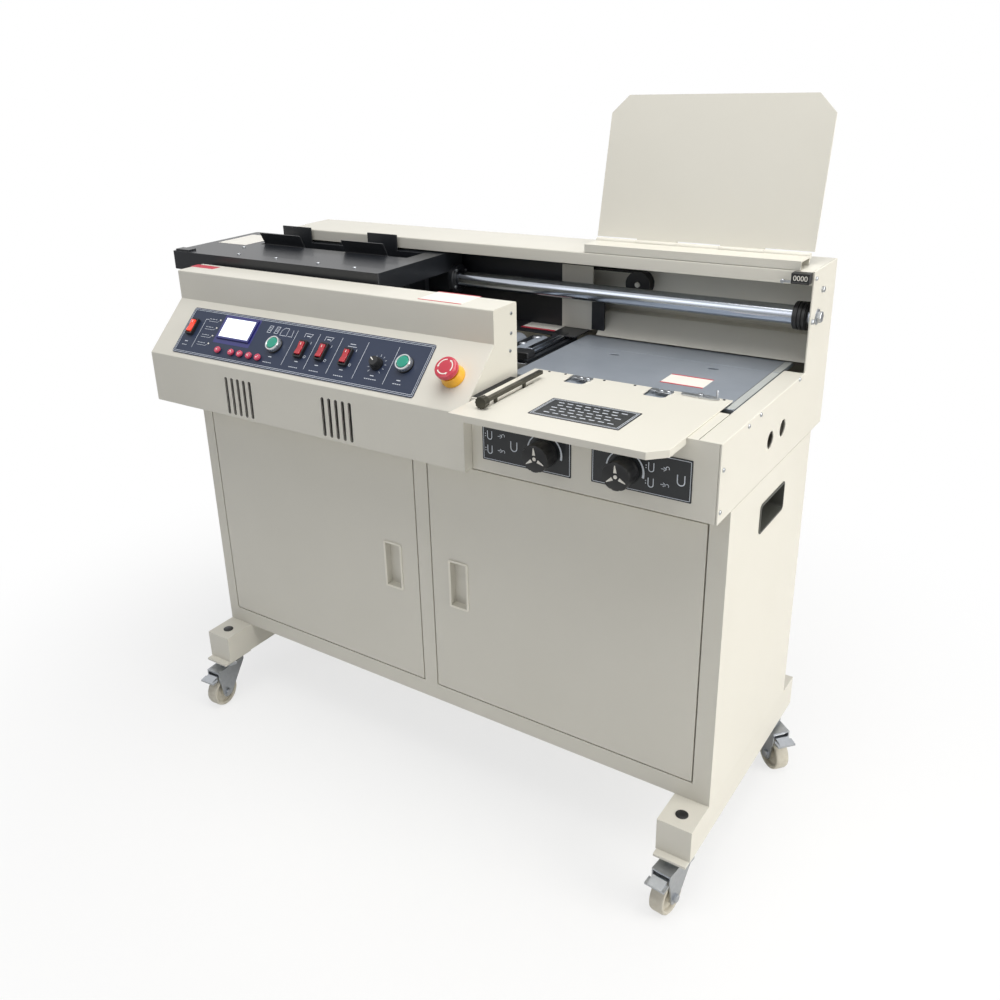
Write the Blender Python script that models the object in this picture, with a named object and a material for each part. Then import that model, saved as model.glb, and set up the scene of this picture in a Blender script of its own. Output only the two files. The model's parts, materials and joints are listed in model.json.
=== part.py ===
"""A perfect binding machine: cabinet on casters, control box, feed table, book clamp carriage and cover board.

Metres, +Z up. X runs across the machine, to the right seen from its front, and Y runs from front to rear.
The modelling coordinates have X at the cabinet's middle, Y at the cabinet's front and Z on the floor. The empty
machine_origin moves them all, so that the world origin is on the floor under the middle of the whole machine.
"""

import math

import bmesh
import bpy
from mathutils import Matrix, Vector

# Clearances
seat = 0.0003
running = 0.0003
overrun = 0.002
lap = 0.0007

# Cabinet, beams and casters
cabinet_width = 1.120
cabinet_depth = 0.374
cabinet_height = 0.533
caster_height = 0.105
beam_size = 0.060
beam_front_overhang = 0.071
beam_rear_overhang = 0.056
half = cabinet_width / 2
beam_front = -beam_front_overhang
beam_rear = cabinet_depth + beam_rear_overhang
cabinet_bottom = caster_height + beam_size + seat
cabinet_top = caster_height + beam_size + cabinet_height

# Doors
door_left_margin = 0.028
door_right_margin = 0.033
door_bottom_margin = 0.036
door_top_margin = 0.029
door_post_width = 0.034
door_gap = 0.0025
door_thickness = 0.018
door_pivot_inset = 0.005
door_pin_radius = 0.003
cabinet_sheet = 0.0015

# Head
head_height = 0.122
head_front_overhang = 0.054
head_rear_overhang = 0.054
head_sheet = 0.002
plate_sheet = 0.003
head_bottom = cabinet_top + seat
head_top = cabinet_top + head_height
head_front = -head_front_overhang
head_rear = cabinet_depth + head_rear_overhang

# Rear housing, guide shaft and belt drive
housing_rise = 0.165
housing_depth = 0.122
housing_lip_height = 0.0225
shaft_radius = 0.016
shaft_rise = 0.085
shaft_behind_lip = 0.034
guard_behind_shaft = 0.032
guard_below_housing = 0.038
belt_behind_guard = 0.028
housing_top = head_top + housing_rise
housing_front = head_rear - housing_depth
shaft_y = housing_front + shaft_behind_lip
shaft_z = head_top + shaft_rise
guard_y = shaft_y + guard_behind_shaft
guard_top = housing_top - guard_below_housing
belt_y = guard_y + belt_behind_guard
pulley_radius = 0.0195
belt_thickness = 0.003
belt_width = 0.016
pulley_above_shaft = 0.011
pulley_z = shaft_z + pulley_above_shaft
idler_from_right = 0.338
idler_x = half - idler_from_right
pulley_pin_radius = 0.005

# Carriage
carriage_overhang = 0.149
carriage_length = 0.559
carriage_depth = 0.248
carriage_behind_shaft = 0.006
carriage_thickness = 0.0375
carriage_over_shaft = 0.001
carriage_left = -half - carriage_overhang
carriage_right = carriage_left + carriage_length
carriage_rear = shaft_y + carriage_behind_shaft
carriage_front = carriage_rear - carriage_depth
carriage_bottom = shaft_z + shaft_radius + carriage_over_shaft
carriage_top = carriage_bottom + carriage_thickness
drive_pulley_inset = 0.219
drive_x = carriage_left + drive_pulley_inset

# Book jaws
jaw_in_front_of_lip = 0.009
jaw_opening = 0.052
jaw_thickness = 0.012
jaw_left_inset = 0.129
jaw_right_inset = 0.045
jaw_above_table = 0.022
jaw_length = carriage_length - jaw_left_inset - jaw_right_inset
jaw_bottom = head_top + jaw_above_table
jaw_left = carriage_left + jaw_left_inset
jaw_right = jaw_left + jaw_length
rear_jaw_face = housing_front - jaw_in_front_of_lip
front_jaw_face = rear_jaw_face - jaw_opening
guide_plate_rise = 0.030
guide_plate_top = carriage_top + guide_plate_rise

# Control box
box_left_overhang = 0.039
box_length = 0.749
box_depth = 0.162
box_front_height = 0.100
box_slope_run = 0.093
box_slope_rise = 0.089
box_step_height = 0.056
box_to_carriage = 0.012
box_bend = 0.003
box_left = -half - box_left_overhang
box_right = box_left + box_length
box_rear = carriage_front - box_to_carriage
box_front = box_rear - box_depth
box_slope_foot = cabinet_top + box_front_height
box_slope_top = box_slope_foot + box_slope_rise
box_top = box_slope_top + box_step_height

# Tables
table_left_of_box_end = 0.018
table_right_margin = 0.037
table_behind_box = 0.004
table_behind_shaft = 0.023
table_seam_before_shaft = 0.045
table_thickness = 0.006
table_drop = 0.0023
table_left = box_right - table_left_of_box_end
table_right = half - table_right_margin
table_front = box_rear + table_behind_box
table_rear = shaft_y + table_behind_shaft
table_seam = shaft_y - table_seam_before_shaft
table_top = head_top - table_drop
table_bottom = table_top - table_thickness
nip_gap = 0.0006
feed_left_margin = 0.015
feed_right_margin = 0.050
feed_front_overhang = 0.082
feed_lap = 0.028
feed_sheet = 0.0022
feed_left = box_right + feed_left_margin
feed_right = half - feed_right_margin
feed_front = head_front - feed_front_overhang
feed_rear = table_front + feed_lap
feed_bottom = head_top + seat
feed_top = feed_bottom + feed_sheet

# Cover board
board_left_margin = 0.005
board_right_margin = 0.019
board_length = 0.250
board_sheet = 0.003
board_lean = math.radians(13)
board_base_height = 0.014
board_base_depth = 0.044
hinge_radius = 0.0048
hinge_pin_radius = 0.0025
board_left = box_right + board_left_margin
board_right = half - board_right_margin
hinge_y = housing_front + board_base_depth + hinge_radius + seat
hinge_z = housing_top + board_base_height + seat

# Casters
wheel_radius = 0.034
wheel_width = 0.026
wheel_trail = 0.035
wheel_sides = 16
axle_radius = 0.004
fork_sheet = 0.0025
fork_gap = 0.0015
caster_plate_sheet = 0.004
caster_plate_width = 0.056
caster_plate_length = 0.076
race_height = 0.010
pedal_out = 0.045
pedal_z = 0.079
pad_reach = 0.030
pad_half_width = 0.018
front_caster_inset = 0.024
rear_caster_inset = 0.048
caster_headings = {
    "front_left": math.radians(4),
    "front_right": math.radians(-6),
    "rear_left": math.radians(12),
    "rear_right": math.radians(50),
}

# Roundness of turned pieces and of bends
fine_steps = 24
round_steps = 18
small_steps = 12
tiny_steps = 8
bend_steps = 2

# The machine's middle, under which the world origin lies. The rear right pedal reaches furthest to the right.
turned_pedal = caster_headings["rear_right"]
pedal_reach = (pedal_out + pad_reach) * math.sin(turned_pedal) + pad_half_width * math.cos(turned_pedal)
right_end = max(half, half - beam_size / 2 + pedal_reach)
centre_x = (carriage_left + right_end) / 2
centre_y = (feed_front + beam_rear) / 2

ONTO = {
    "X": Matrix.Rotation(math.radians(90), 4, "Y"),
    "Y": Matrix.Rotation(math.radians(-90), 4, "X"),
    "Z": Matrix.Identity(4),
}


def finish(name, colour, roughness, metallic=0.0):
    material = bpy.data.materials.new(name)
    material.use_nodes = True
    shader = material.node_tree.nodes["Principled BSDF"]
    shader.inputs["Base Color"].default_value = (*colour, 1)
    shader.inputs["Roughness"].default_value = roughness
    shader.inputs["Metallic"].default_value = metallic
    material.diffuse_color = (*colour, 1)
    return material


def empty(name, location, parent=None, rotation=(0, 0, 0)):
    guide = bpy.data.objects.new(name, None)
    bpy.context.collection.objects.link(guide)
    guide.location = location
    guide.rotation_euler = rotation
    guide.parent = parent
    return guide


def block(low, high):
    """A box between two corners."""
    shape = bmesh.new()
    middle = (Vector(low) + Vector(high)) / 2
    size = Vector(high) - Vector(low)
    bmesh.ops.create_cube(shape, size=1, matrix=Matrix.LocRotScale(middle, None, size))
    return shape


def outline(points, steps=bend_steps):
    """Closed outline points, with an arc at each corner that has a third value, its radius."""
    drawn = []
    for number, point in enumerate(points):
        corner = Vector(point[:2])
        radius = point[2] if len(point) > 2 else 0
        if not radius:
            drawn.append(corner)
            continue
        before = (Vector(points[number - 1][:2]) - corner).normalized()
        after = (Vector(points[(number + 1) % len(points)][:2]) - corner).normalized()
        half_angle = before.angle(after) / 2
        centre = corner + (before + after).normalized() * (radius / math.sin(half_angle))
        reach = radius / math.tan(half_angle)
        start = corner + before * reach - centre
        end = corner + after * reach - centre
        first = math.atan2(start.y, start.x)
        turn = math.remainder(math.atan2(end.y, end.x) - first, math.tau)
        for step in range(steps + 1):
            angle = first + turn * step / steps
            drawn.append(centre + Vector((math.cos(angle), math.sin(angle))) * radius)
    return drawn


def inset(points, distance):
    """A counter-clockwise outline moved inwards, with its corner radii reduced alike."""
    moved = []
    for number, point in enumerate(points):
        here = Vector(point[:2])
        before = (here - Vector(points[number - 1][:2])).normalized()
        after = (Vector(points[(number + 1) % len(points)][:2]) - here).normalized()
        first = Vector((-before.y, before.x))
        second = Vector((-after.y, after.x))
        there = here + (first + second) * (distance / (1 + first.dot(second)))
        radius = point[2] if len(point) > 2 else 0
        moved.append((there.x, there.y, max(radius - distance, 0)))
    return moved


def slot_outline(left, bottom, right, top, radius):
    return outline(
        [(left, bottom, radius), (right, bottom, radius), (right, top, radius), (left, top, radius)], small_steps // 6
    )


def prism(points, axis, low, high):
    """A straight prism along an axis: X takes (y, z) points, Y takes (x, z) and Z takes (x, y)."""
    shape = bmesh.new()
    across, up, along = {"X": (1, 2, 0), "Y": (0, 2, 1), "Z": (0, 1, 2)}[axis]
    corners = []
    for point in points:
        place = Vector((0, 0, 0))
        place[across], place[up], place[along] = point[0], point[1], low
        corners.append(shape.verts.new(place))
    face = shape.faces.new(corners)
    made = bmesh.ops.extrude_face_region(shape, geom=[face])
    shift = Vector((0, 0, 0))
    shift[along] = high - low
    moved = [piece for piece in made["geom"] if isinstance(piece, bmesh.types.BMVert)]
    bmesh.ops.translate(shape, vec=shift, verts=moved)
    bmesh.ops.recalc_face_normals(shape, faces=shape.faces)
    return shape


def turned(profile, axis, centre, steps=round_steps, ring=False):
    """A turned solid: (radius, along) points round an axis through centre, closed on itself where ring is set."""
    shape = bmesh.new()
    points = [shape.verts.new((radius, 0, along)) for radius, along in profile]
    edges = [shape.edges.new(pair) for pair in zip(points, points[1:])]
    if ring:
        edges.append(shape.edges.new((points[-1], points[0])))
    bmesh.ops.spin(
        shape, geom=points + edges, axis=(0, 0, 1), cent=(0, 0, 0), angle=math.tau, steps=steps, use_merge=True
    )
    bmesh.ops.remove_doubles(shape, verts=shape.verts, dist=seat / 1000)
    bmesh.ops.recalc_face_normals(shape, faces=shape.faces)
    half_step = Matrix.Rotation(math.pi / steps, 4, "Z")
    shape.transform(Matrix.Translation(centre) @ ONTO[axis] @ half_step)
    return shape


def rod(axis, centre, radius, low, high, steps=small_steps):
    """A round bar from low to high along an axis, measured from centre."""
    return turned([(0, low), (radius, low), (radius, high), (0, high)], axis, centre, steps)


def bore(axis, centre, radius, low, high, steps=small_steps):
    """A round cutter whose flats lie at the radius plus the running clearance."""
    return rod(axis, centre, (radius + running) / math.cos(math.pi / steps), low, high, steps)


def joined(shapes):
    mesh = bpy.data.meshes.new("joined")
    whole = bmesh.new()
    for shape in shapes:
        shape.to_mesh(mesh)
        whole.from_mesh(mesh)
        shape.free()
    bpy.data.meshes.remove(mesh)
    return whole


def object_of(name, shape, pivot, parent):
    mesh = bpy.data.meshes.new(name)
    shape.transform(Matrix.Translation(-pivot))
    shape.to_mesh(mesh)
    shape.free()
    mesh.shade_smooth()
    mesh.set_sharp_from_angle(angle=math.radians(32))
    made = bpy.data.objects.new(name, mesh)
    bpy.context.collection.objects.link(made)
    made.parent = parent
    return made


def node(name, material, base, steps=(), pivot=(0, 0, 0), parent=None):
    """One sub-part: a base shape and its Boolean steps, each an operation with the shapes that it adds or cuts."""
    pivot = Vector(pivot)
    part = object_of(name, base, pivot, parent or machine)
    part.location = pivot
    part.data.materials.append(material)
    for number, (operation, shapes) in enumerate(steps, 1):
        several = len(shapes) > 1
        helper = object_of(f"{name}_{operation.lower()}_{number}", joined(shapes), pivot, part)
        helper.hide_render = True
        helper.display_type = "WIRE"
        change = part.modifiers.new(helper.name, "BOOLEAN")
        change.operation = operation
        change.object = helper
        change.use_self = several
    return part


def cabinet_shell():
    sheet = cabinet_sheet
    return_depth = 0.020
    slot_front, slot_rear = 0.135, 0.247
    slot_below_top, slot_height = 0.094, 0.048
    cup_depth = 0.030
    slot_radius = 0.006
    low, high = cabinet_bottom, cabinet_top
    base = block((-half, 0, low), (half, cabinet_depth, high))
    spans = ((-half + sheet, post_x - sheet / 2), (post_x + sheet / 2, half - sheet))
    cavities = [block((a, sheet, low + sheet), (b, cabinet_depth - sheet, high - sheet)) for a, b in spans]
    slot_bottom = high - slot_below_top
    cup = (slot_front - sheet, slot_bottom - sheet, slot_rear + sheet, slot_bottom + slot_height + sheet)
    frames, openings, pins, cups, recesses = [], [], [], [], []
    for x_low, x_high, pivot_x in (door_spans["left"], door_spans["right"]):
        a, b = x_low - door_gap, x_high + door_gap
        c, d = door_bottom - door_gap, door_top + door_gap
        frames.append(block((a - sheet, sheet - lap, c - sheet), (b + sheet, return_depth, d + sheet)))
        openings.append(block((a, -overrun, c), (b, return_depth + overrun, d)))
        for z in (c - sheet / 2, d + sheet / 2):
            pins.append(bore("Z", (pivot_x, door_pivot_inset, z), door_pin_radius, -overrun, overrun))
    for side in (-1, 1):
        wall, inner = side * (half - sheet + lap), side * (half - cup_depth)
        ends = sorted((wall, inner))
        cups.append(prism(slot_outline(*cup, slot_radius + sheet), "X", *ends))
        ends = sorted((side * (half + overrun), side * (half - cup_depth + sheet)))
        recess = (slot_front, slot_bottom, slot_rear, slot_bottom + slot_height)
        recesses.append(prism(slot_outline(*recess, slot_radius), "X", *ends))
    node(
        "cabinet_shell",
        cream,
        base,
        [
            ("DIFFERENCE", cavities),
            ("UNION", frames + cups),
            ("DIFFERENCE", openings + recesses),
            ("DIFFERENCE", pins),
        ],
    )


def door(side, pull_centre):
    """A pan door with a flush pull and a pivot pin at each end of its hinge edge."""
    sheet = cabinet_sheet
    pull_width, pull_height = 0.041, 0.096
    pull_below_middle = 0.002
    pull_rim, pull_depth = 0.0015, 0.014
    pull_radius = 0.004
    pin_grip, pin_reach = 0.010, 0.003
    x_low, x_high, pivot_x = door_spans[side]
    base = block((x_low, 0, door_bottom), (x_high, door_thickness, door_top))
    pan = block(
        (x_low + sheet, sheet, door_bottom + sheet), (x_high - sheet, door_thickness + overrun, door_top - sheet)
    )
    middle = (door_bottom + door_top) / 2 - pull_below_middle
    frame = (
        pull_centre - pull_width / 2,
        middle - pull_height / 2,
        pull_centre + pull_width / 2,
        middle + pull_height / 2,
    )
    cup = prism(slot_outline(*frame, pull_radius), "Y", -pull_rim, pull_depth + sheet)
    rim = 2 * pull_rim
    inner = (frame[0] + rim, frame[1] + rim, frame[2] - rim, frame[3] - rim)
    recess = prism(slot_outline(*inner, pull_radius - pull_rim), "Y", -pull_rim - overrun, pull_depth)
    reach = door_gap + sheet + pin_reach
    pins = [
        rod("Z", (pivot_x, door_pivot_inset, door_top), door_pin_radius, -pin_grip, reach),
        rod("Z", (pivot_x, door_pivot_inset, door_bottom), door_pin_radius, -reach, pin_grip),
    ]
    node(
        f"door_{side}",
        cream,
        base,
        [("DIFFERENCE", [pan]), ("UNION", [cup] + pins), ("DIFFERENCE", [recess])],
        pivot=(pivot_x, door_pivot_inset, door_bottom),
    )


def base_beam(side, sign):
    """A square tube with capped ends, a hole in its top and the caster plates under it."""
    wall = 0.003
    hole_radius = 0.009
    hole_from_front = 0.031
    x_low, x_high = sorted((sign * half, sign * (half - beam_size)))
    middle = (x_low + x_high) / 2
    low, high = caster_height, caster_height + beam_size
    base = block((x_low, beam_front, low), (x_high, beam_rear, high))
    inside = block((x_low + wall, beam_front + wall, low + wall), (x_high - wall, beam_rear - wall, high - wall))
    hole = rod("Z", (middle, beam_front + hole_from_front, high), hole_radius, -wall - overrun, overrun)
    plates = []
    for y in (front_caster_y, rear_caster_y):
        corner = (middle - caster_plate_width / 2, y - caster_plate_length / 2, low - caster_plate_sheet)
        plates.append(block(corner, (middle + caster_plate_width / 2, y + caster_plate_length / 2, low + lap)))
    node(f"base_beam_{side}", cream, base, [("DIFFERENCE", [inside]), ("DIFFERENCE", [hole]), ("UNION", plates)])


def caster(name, x, y):
    """Fork, wheel and brake pedal, drawn about the swivel axis with the wheel trailing towards -Y."""
    crown_low, crown_sheet = 0.0875, 0.003
    crown_front, crown_rear = 0.054, 0.024
    leg_bottom, leg_round = 0.012, 0.010
    nut_radius, nut_height = 0.0075, 0.005
    race_radius, race_neck = 0.027, 0.022
    pedal_pin_radius, knuckle_radius = 0.0025, 0.0052
    pedal_sheet, pad_drop, pad_start = 0.0035, 0.006, 0.012
    tread_edge, rim_depth, hub_radius = 0.003, 0.008, 0.011
    web_half_width = 0.005
    frame = empty(f"caster_{name}", (x, y, 0), machine, (0, 0, caster_headings[name]))
    axle_z = wheel_radius * math.cos(math.pi / wheel_sides)
    axle = (0, -wheel_trail, axle_z)
    inner = wheel_width / 2 + fork_gap
    outer = inner + fork_sheet
    crown_high = crown_low + crown_sheet
    race_high = caster_height - caster_plate_sheet - seat
    leg = outline(
        [
            (crown_rear, crown_high - lap),
            (-crown_front, crown_high - lap),
            (-crown_front, pedal_z - knuckle_radius),
            (-wheel_trail - leg_round, axle_z - leg_bottom, leg_round),
            (-wheel_trail + leg_round, axle_z - leg_bottom, leg_round),
            (crown_rear, crown_low - crown_sheet),
        ]
    )
    base = block((-outer, -crown_front, crown_low), (outer, crown_rear, crown_high))
    ring_outline = [
        (0, crown_high - lap), (race_radius, crown_high - lap), (race_radius, crown_high + race_height / 2),
        (race_neck, race_high), (0, race_high),
    ]
    race = turned(ring_outline, "Z", (0, 0, 0), small_steps)
    shafts = [
        rod("X", axle, axle_radius, -outer - lap, outer + lap),
        rod("X", (0, -pedal_out, pedal_z), pedal_pin_radius, -outer + lap, outer - lap, tiny_steps),
    ]
    nuts = [
        rod("X", (side * (outer + nut_height / 2 - lap / 2), -wheel_trail, axle_z), nut_radius,
            -nut_height / 2 - lap / 2, nut_height / 2, 6)
        for side in (-1, 1)
    ]
    legs = [prism(leg, "X", inner, outer), prism(leg, "X", -outer, -inner)]
    node(f"caster_fork_{name}", zinc, base, [("UNION", [race] + legs), ("UNION", shafts), ("UNION", nuts)],
         parent=frame)
    rim = wheel_radius - rim_depth
    hub_bore = axle_radius + running
    side = wheel_width / 2
    profile = [
        (hub_bore, -side), (hub_radius, -side), (hub_radius, -web_half_width), (rim, -web_half_width),
        (rim, -side + tread_edge), (wheel_radius - tread_edge, -side), (wheel_radius, -side + tread_edge),
        (wheel_radius, side - tread_edge), (wheel_radius - tread_edge, side), (rim, side - tread_edge),
        (rim, web_half_width), (hub_radius, web_half_width), (hub_radius, side), (hub_bore, side),
    ]
    wheel = turned(profile, "X", axle, wheel_sides, ring=True)
    node(f"caster_wheel_{name}", off_white, wheel, pivot=axle, parent=frame)
    knuckle_half = inner - fork_gap / 2
    pivot = (0, -pedal_out, pedal_z)
    knuckle = rod("X", pivot, knuckle_radius, -knuckle_half, knuckle_half, tiny_steps)
    top, far = pedal_z + knuckle_radius / 2, -pedal_out - pad_reach
    arm = [
        (-pedal_out, top), (-pedal_out - pad_start, top), (far, top - pad_drop), (far, top - pad_drop - pedal_sheet),
        (-pedal_out - pad_start, top - pedal_sheet), (-pedal_out, top - pedal_sheet),
    ]
    near = -crown_front - pad_start / 2
    pad = [
        (far, top - pad_drop), (far, top - pad_drop - pedal_sheet), (near, top - pedal_sheet * 2),
        (near, top - pedal_sheet),
    ]
    pin_hole = bore("X", pivot, pedal_pin_radius, -outer, outer, tiny_steps)
    node(
        f"caster_pedal_{name}",
        zinc,
        knuckle,
        [
            ("UNION", [prism(arm, "X", -knuckle_half + lap, knuckle_half - lap)]),
            ("UNION", [prism(pad, "X", -pad_half_width, pad_half_width)]),
            ("DIFFERENCE", [pin_hole]),
        ],
        pivot=pivot,
        parent=frame,
    )


def head_frame():
    """Floor pan, left side plate, rear skirt and the bearers under the table plates."""
    ear_above_shaft, ear_front = 0.013, 0.022
    window_gap = 0.004
    bearer_sheet, bearer_flange = 0.003, 0.028
    bearer_inset = 0.010
    floor_front = head_front + head_sheet + seat
    pan_left, pan_right = -half, half - plate_sheet - seat
    pan = [
        (pan_left, box_rear + seat), (box_right + seat, box_rear + seat), (box_right + seat, floor_front),
        (pan_right, floor_front), (pan_right, head_rear), (pan_left, head_rear),
    ]
    floor = head_bottom + head_sheet
    window = carriage_rear + window_gap
    side_plate = [
        (box_rear + seat, head_bottom), (head_rear, head_bottom), (head_rear, housing_top), (window, housing_top),
        (window, shaft_z + ear_above_shaft), (shaft_y - ear_front, shaft_z + ear_above_shaft),
        (shaft_y - ear_front, head_top), (box_rear + seat, head_top),
    ]
    skirt = block((pan_left, head_rear - head_sheet, head_bottom), (pan_right, head_rear, head_top))
    x_low, x_high = table_left + bearer_inset, table_right - bearer_inset
    top = table_bottom - seat
    webs, flanges = [], []
    for y, reach in (
        (table_front + bearer_sheet, bearer_flange),
        (table_seam - bearer_sheet / 2, bearer_flange / 2),
        (table_rear - 2 * bearer_sheet, -bearer_flange),
    ):
        y_low, y_high = sorted((y, y + reach))
        webs.append(block((x_low, y, floor - lap), (x_high, y + bearer_sheet, top - lap)))
        y_low = min(y_low, y)
        y_high = max(y_high, y + bearer_sheet)
        flanges.append(block((x_low - lap, y_low - lap, top - bearer_sheet), (x_high + lap, y_high + lap, top)))
    node(
        "head_frame",
        cream,
        prism(pan, "Z", head_bottom, floor),
        [
            ("UNION", [prism(side_plate, "X", -half, -half + plate_sheet)]),
            ("UNION", [skirt]),
            ("UNION", webs),
            ("UNION", flanges),
        ],
    )


def side_plate_right():
    flange_width, flange_sheet = 0.034, 0.002
    hole_radius = 0.014
    hole_places = ((0.154, 0.064), (0.211, 0.063))
    plate = [
        (head_front, head_bottom), (head_rear, head_bottom), (head_rear, housing_top), (housing_front, housing_top),
        (housing_front, head_top), (head_front, head_top),
    ]
    flange = block(
        (half - flange_width, head_front + head_sheet + seat, head_top - flange_sheet),
        (half - lap, housing_front, head_top),
    )
    holes = [
        rod("X", (half, y, head_top - below), hole_radius, -plate_sheet - overrun, overrun, round_steps)
        for y, below in hole_places
    ]
    node(
        "side_plate_right",
        cream,
        prism(plate, "X", half - plate_sheet, half),
        [("UNION", [flange]), ("DIFFERENCE", holes)],
    )


def knob_panel():
    flange_rear = 0.065
    flange_sheet = 0.0017
    flange_right = 0.035
    x_low, x_high = box_right + seat, half - plate_sheet - seat
    front = block((x_low, head_front, head_bottom), (x_high, head_front + head_sheet, head_top))
    flange = block(
        (x_low, head_front + lap, head_top - flange_sheet), (half - flange_right, flange_rear, head_top)
    )
    holes = [
        bore("Y", (x, head_front, knob_z), knob_shaft_radius, -overrun, head_sheet + overrun)
        for x in knob_places
    ]
    node("knob_panel", cream, front, [("UNION", [flange]), ("DIFFERENCE", holes)])


def adjust_knob(name, x):
    """A grooved knob with a stepped skirt, and its shaft through the panel."""
    skirt_height, grip_radius, height, edge = 0.008, 0.019, 0.030, 0.003
    gap, shaft_depth = 0.0015, 0.018
    grooves, groove_radius = 10, 0.0026
    start = head_front - gap
    profile = [
        (0, start), (knob_radius, start), (knob_radius, start - skirt_height / 2),
        (grip_radius, start - skirt_height), (grip_radius - edge / 2, start - height + edge),
        (grip_radius - edge, start - height), (0, start - height),
    ]
    base = turned(profile, "Y", (x, 0, knob_z), round_steps)
    cuts = []
    for number in range(grooves):
        angle = math.tau * number / grooves
        place = (x + grip_radius * math.cos(angle), start, knob_z + grip_radius * math.sin(angle))
        cuts.append(rod("Y", place, groove_radius, -height - overrun, -skirt_height, tiny_steps // 2))
    shaft = rod("Y", (x, start, knob_z), knob_shaft_radius, -lap, gap + shaft_depth)
    node(name, black_plastic, base, [("DIFFERENCE", cuts), ("UNION", [shaft])], pivot=(x, head_front, knob_z))


def control_box():
    sheet = 0.002
    vent_groups = (0.206, 0.448)
    vent_count, vent_pitch, vent_width = 5, 0.0155, 0.0048
    vent_bottom, vent_height = 0.008, 0.070
    profile = [
        (box_front, head_bottom, box_bend), (box_rear, head_bottom), (box_rear, box_top, box_bend),
        (box_slope_y, box_top, box_bend), (box_slope_y, box_slope_top), (box_front, box_slope_foot, box_bend),
    ]
    inside = outline(inset(profile, sheet))
    vents = []
    for group in vent_groups:
        for number in range(vent_count):
            x = box_left + group + vent_pitch * number
            z = head_bottom + vent_bottom
            points = slot_outline(x, z, x + vent_width, z + vent_height, vent_width / 2 - seat)
            vents.append(prism(points, "Y", box_front - overrun, box_front + sheet + overrun))
    box = node(
        "control_box",
        cream,
        prism(outline(profile), "X", box_left, box_right),
        [("DIFFERENCE", [prism(inside, "X", box_left + sheet, box_right - sheet)]), ("DIFFERENCE", vents)],
    )
    cutters = [(x, s, radius, "round") for x, s, radius in round_controls()]
    cutters += [(x, s, rocker_stem, "square") for x, s in rocker_places.values()]
    holes = []
    for x, s, size, kind in cutters:
        if kind == "round":
            holes.append(bore("Z", (x, s, 0), size, -sheet - overrun, overrun, tiny_steps))
        else:
            holes.append(block((x - size, s - size, -sheet - overrun), (x + size, s + size, overrun)))
    helper = object_of("control_box_holes", joined(holes), Vector((0, 0, 0)), slope)
    helper.hide_render = True
    helper.display_type = "WIRE"
    change = box.modifiers.new("control holes", "BOOLEAN")
    change.operation = "DIFFERENCE"
    change.object = helper


def round_controls():
    """Place and stem radius of each round control on the slope, as (x, up the slope, radius)."""
    found = [(x, key_s, key_stem) for x in key_places]
    found += [(x, s, button_stem) for x, s in button_places.values()]
    found.append((*speed_place, speed_stem))
    found.append((*estop_place, estop_stem))
    return found


def panel_overlay():
    """The panel on the slope, with a raised bezel round each button and rocker."""
    edge_radius = 0.004
    area = slot_outline(overlay_left, overlay_low, overlay_right, overlay_high, edge_radius)
    base = prism(area, "Z", seat, seat + overlay_sheet)
    rings, bores, stems = [], [], []
    for x, s in button_places.values():
        rings.append(rod("Z", (x, s, 0), bezel_radius, seat + lap / 2, bezel_height, round_steps))
        bores.append(bore("Z", (x, s, 0), button_radius, overlay_sheet + seat, bezel_height + overrun, round_steps))
        stems.append(bore("Z", (x, s, 0), button_stem, -overrun, bezel_height, tiny_steps))
    for x, s in rocker_places.values():
        wide, tall = rocker_frame_width / 2, rocker_frame_length / 2
        rings.append(block((x - wide, s - tall, seat + lap / 2), (x + wide, s + tall, rocker_frame_height)))
        wide, tall = rocker_width / 2 + running, rocker_length / 2 + running
        bores.append(block((x - wide, s - tall, -overrun), (x + wide, s + tall, rocker_frame_height + overrun)))
    for x in key_places:
        stems.append(bore("Z", (x, key_s, 0), key_stem, -overrun, bezel_height, tiny_steps))
    stems.append(bore("Z", (*speed_place, 0), speed_stem, -overrun, bezel_height, tiny_steps))
    node(
        "panel_overlay",
        navy,
        base,
        [("UNION", rings), ("DIFFERENCE", bores), ("DIFFERENCE", stems)],
        parent=slope,
    )


def lcd_display():
    frame_width, screen_drop, height = 0.004, 0.0008, 0.003
    low = seat + overlay_sheet + seat
    right = lcd_left + lcd_width
    base = block((lcd_left, lcd_low, low), (right, lcd_high, low + height))
    screen = block(
        (lcd_left + frame_width, lcd_low + frame_width, low + height - screen_drop),
        (right - frame_width, lcd_high - frame_width, low + height + overrun),
    )
    node("lcd_display", black_plastic, base, [("DIFFERENCE", [screen])], parent=slope)


def push_button(name, place):
    """A domed plunger in its bezel, with a stem through the panel."""
    x, s = place
    proud, dome, stem_depth = 0.004, 0.0015, 0.016
    dome_share = 0.8
    low = seat + overlay_sheet + button_travel + seat
    high = bezel_height + proud
    profile = [
        (0, -stem_depth), (button_stem, -stem_depth), (button_stem, low), (button_radius, low),
        (button_radius, high - dome), (button_radius * dome_share, high - dome / 4), (0, high),
    ]
    node(name, green, turned(profile, "Z", (x, s, 0)), pivot=(x, s, high), parent=slope)


def key(name, x):
    cap_height, edge, stem_depth = 0.0045, 0.001, 0.010
    low = seat + overlay_sheet + key_travel + seat
    profile = [
        (0, -stem_depth), (key_stem, -stem_depth), (key_stem, low), (key_radius, low),
        (key_radius, low + cap_height - edge), (key_radius - edge, low + cap_height), (0, low + cap_height),
    ]
    node(name, red, turned(profile, "Z", (x, key_s, 0), small_steps), pivot=(x, key_s, low), parent=slope)


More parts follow.
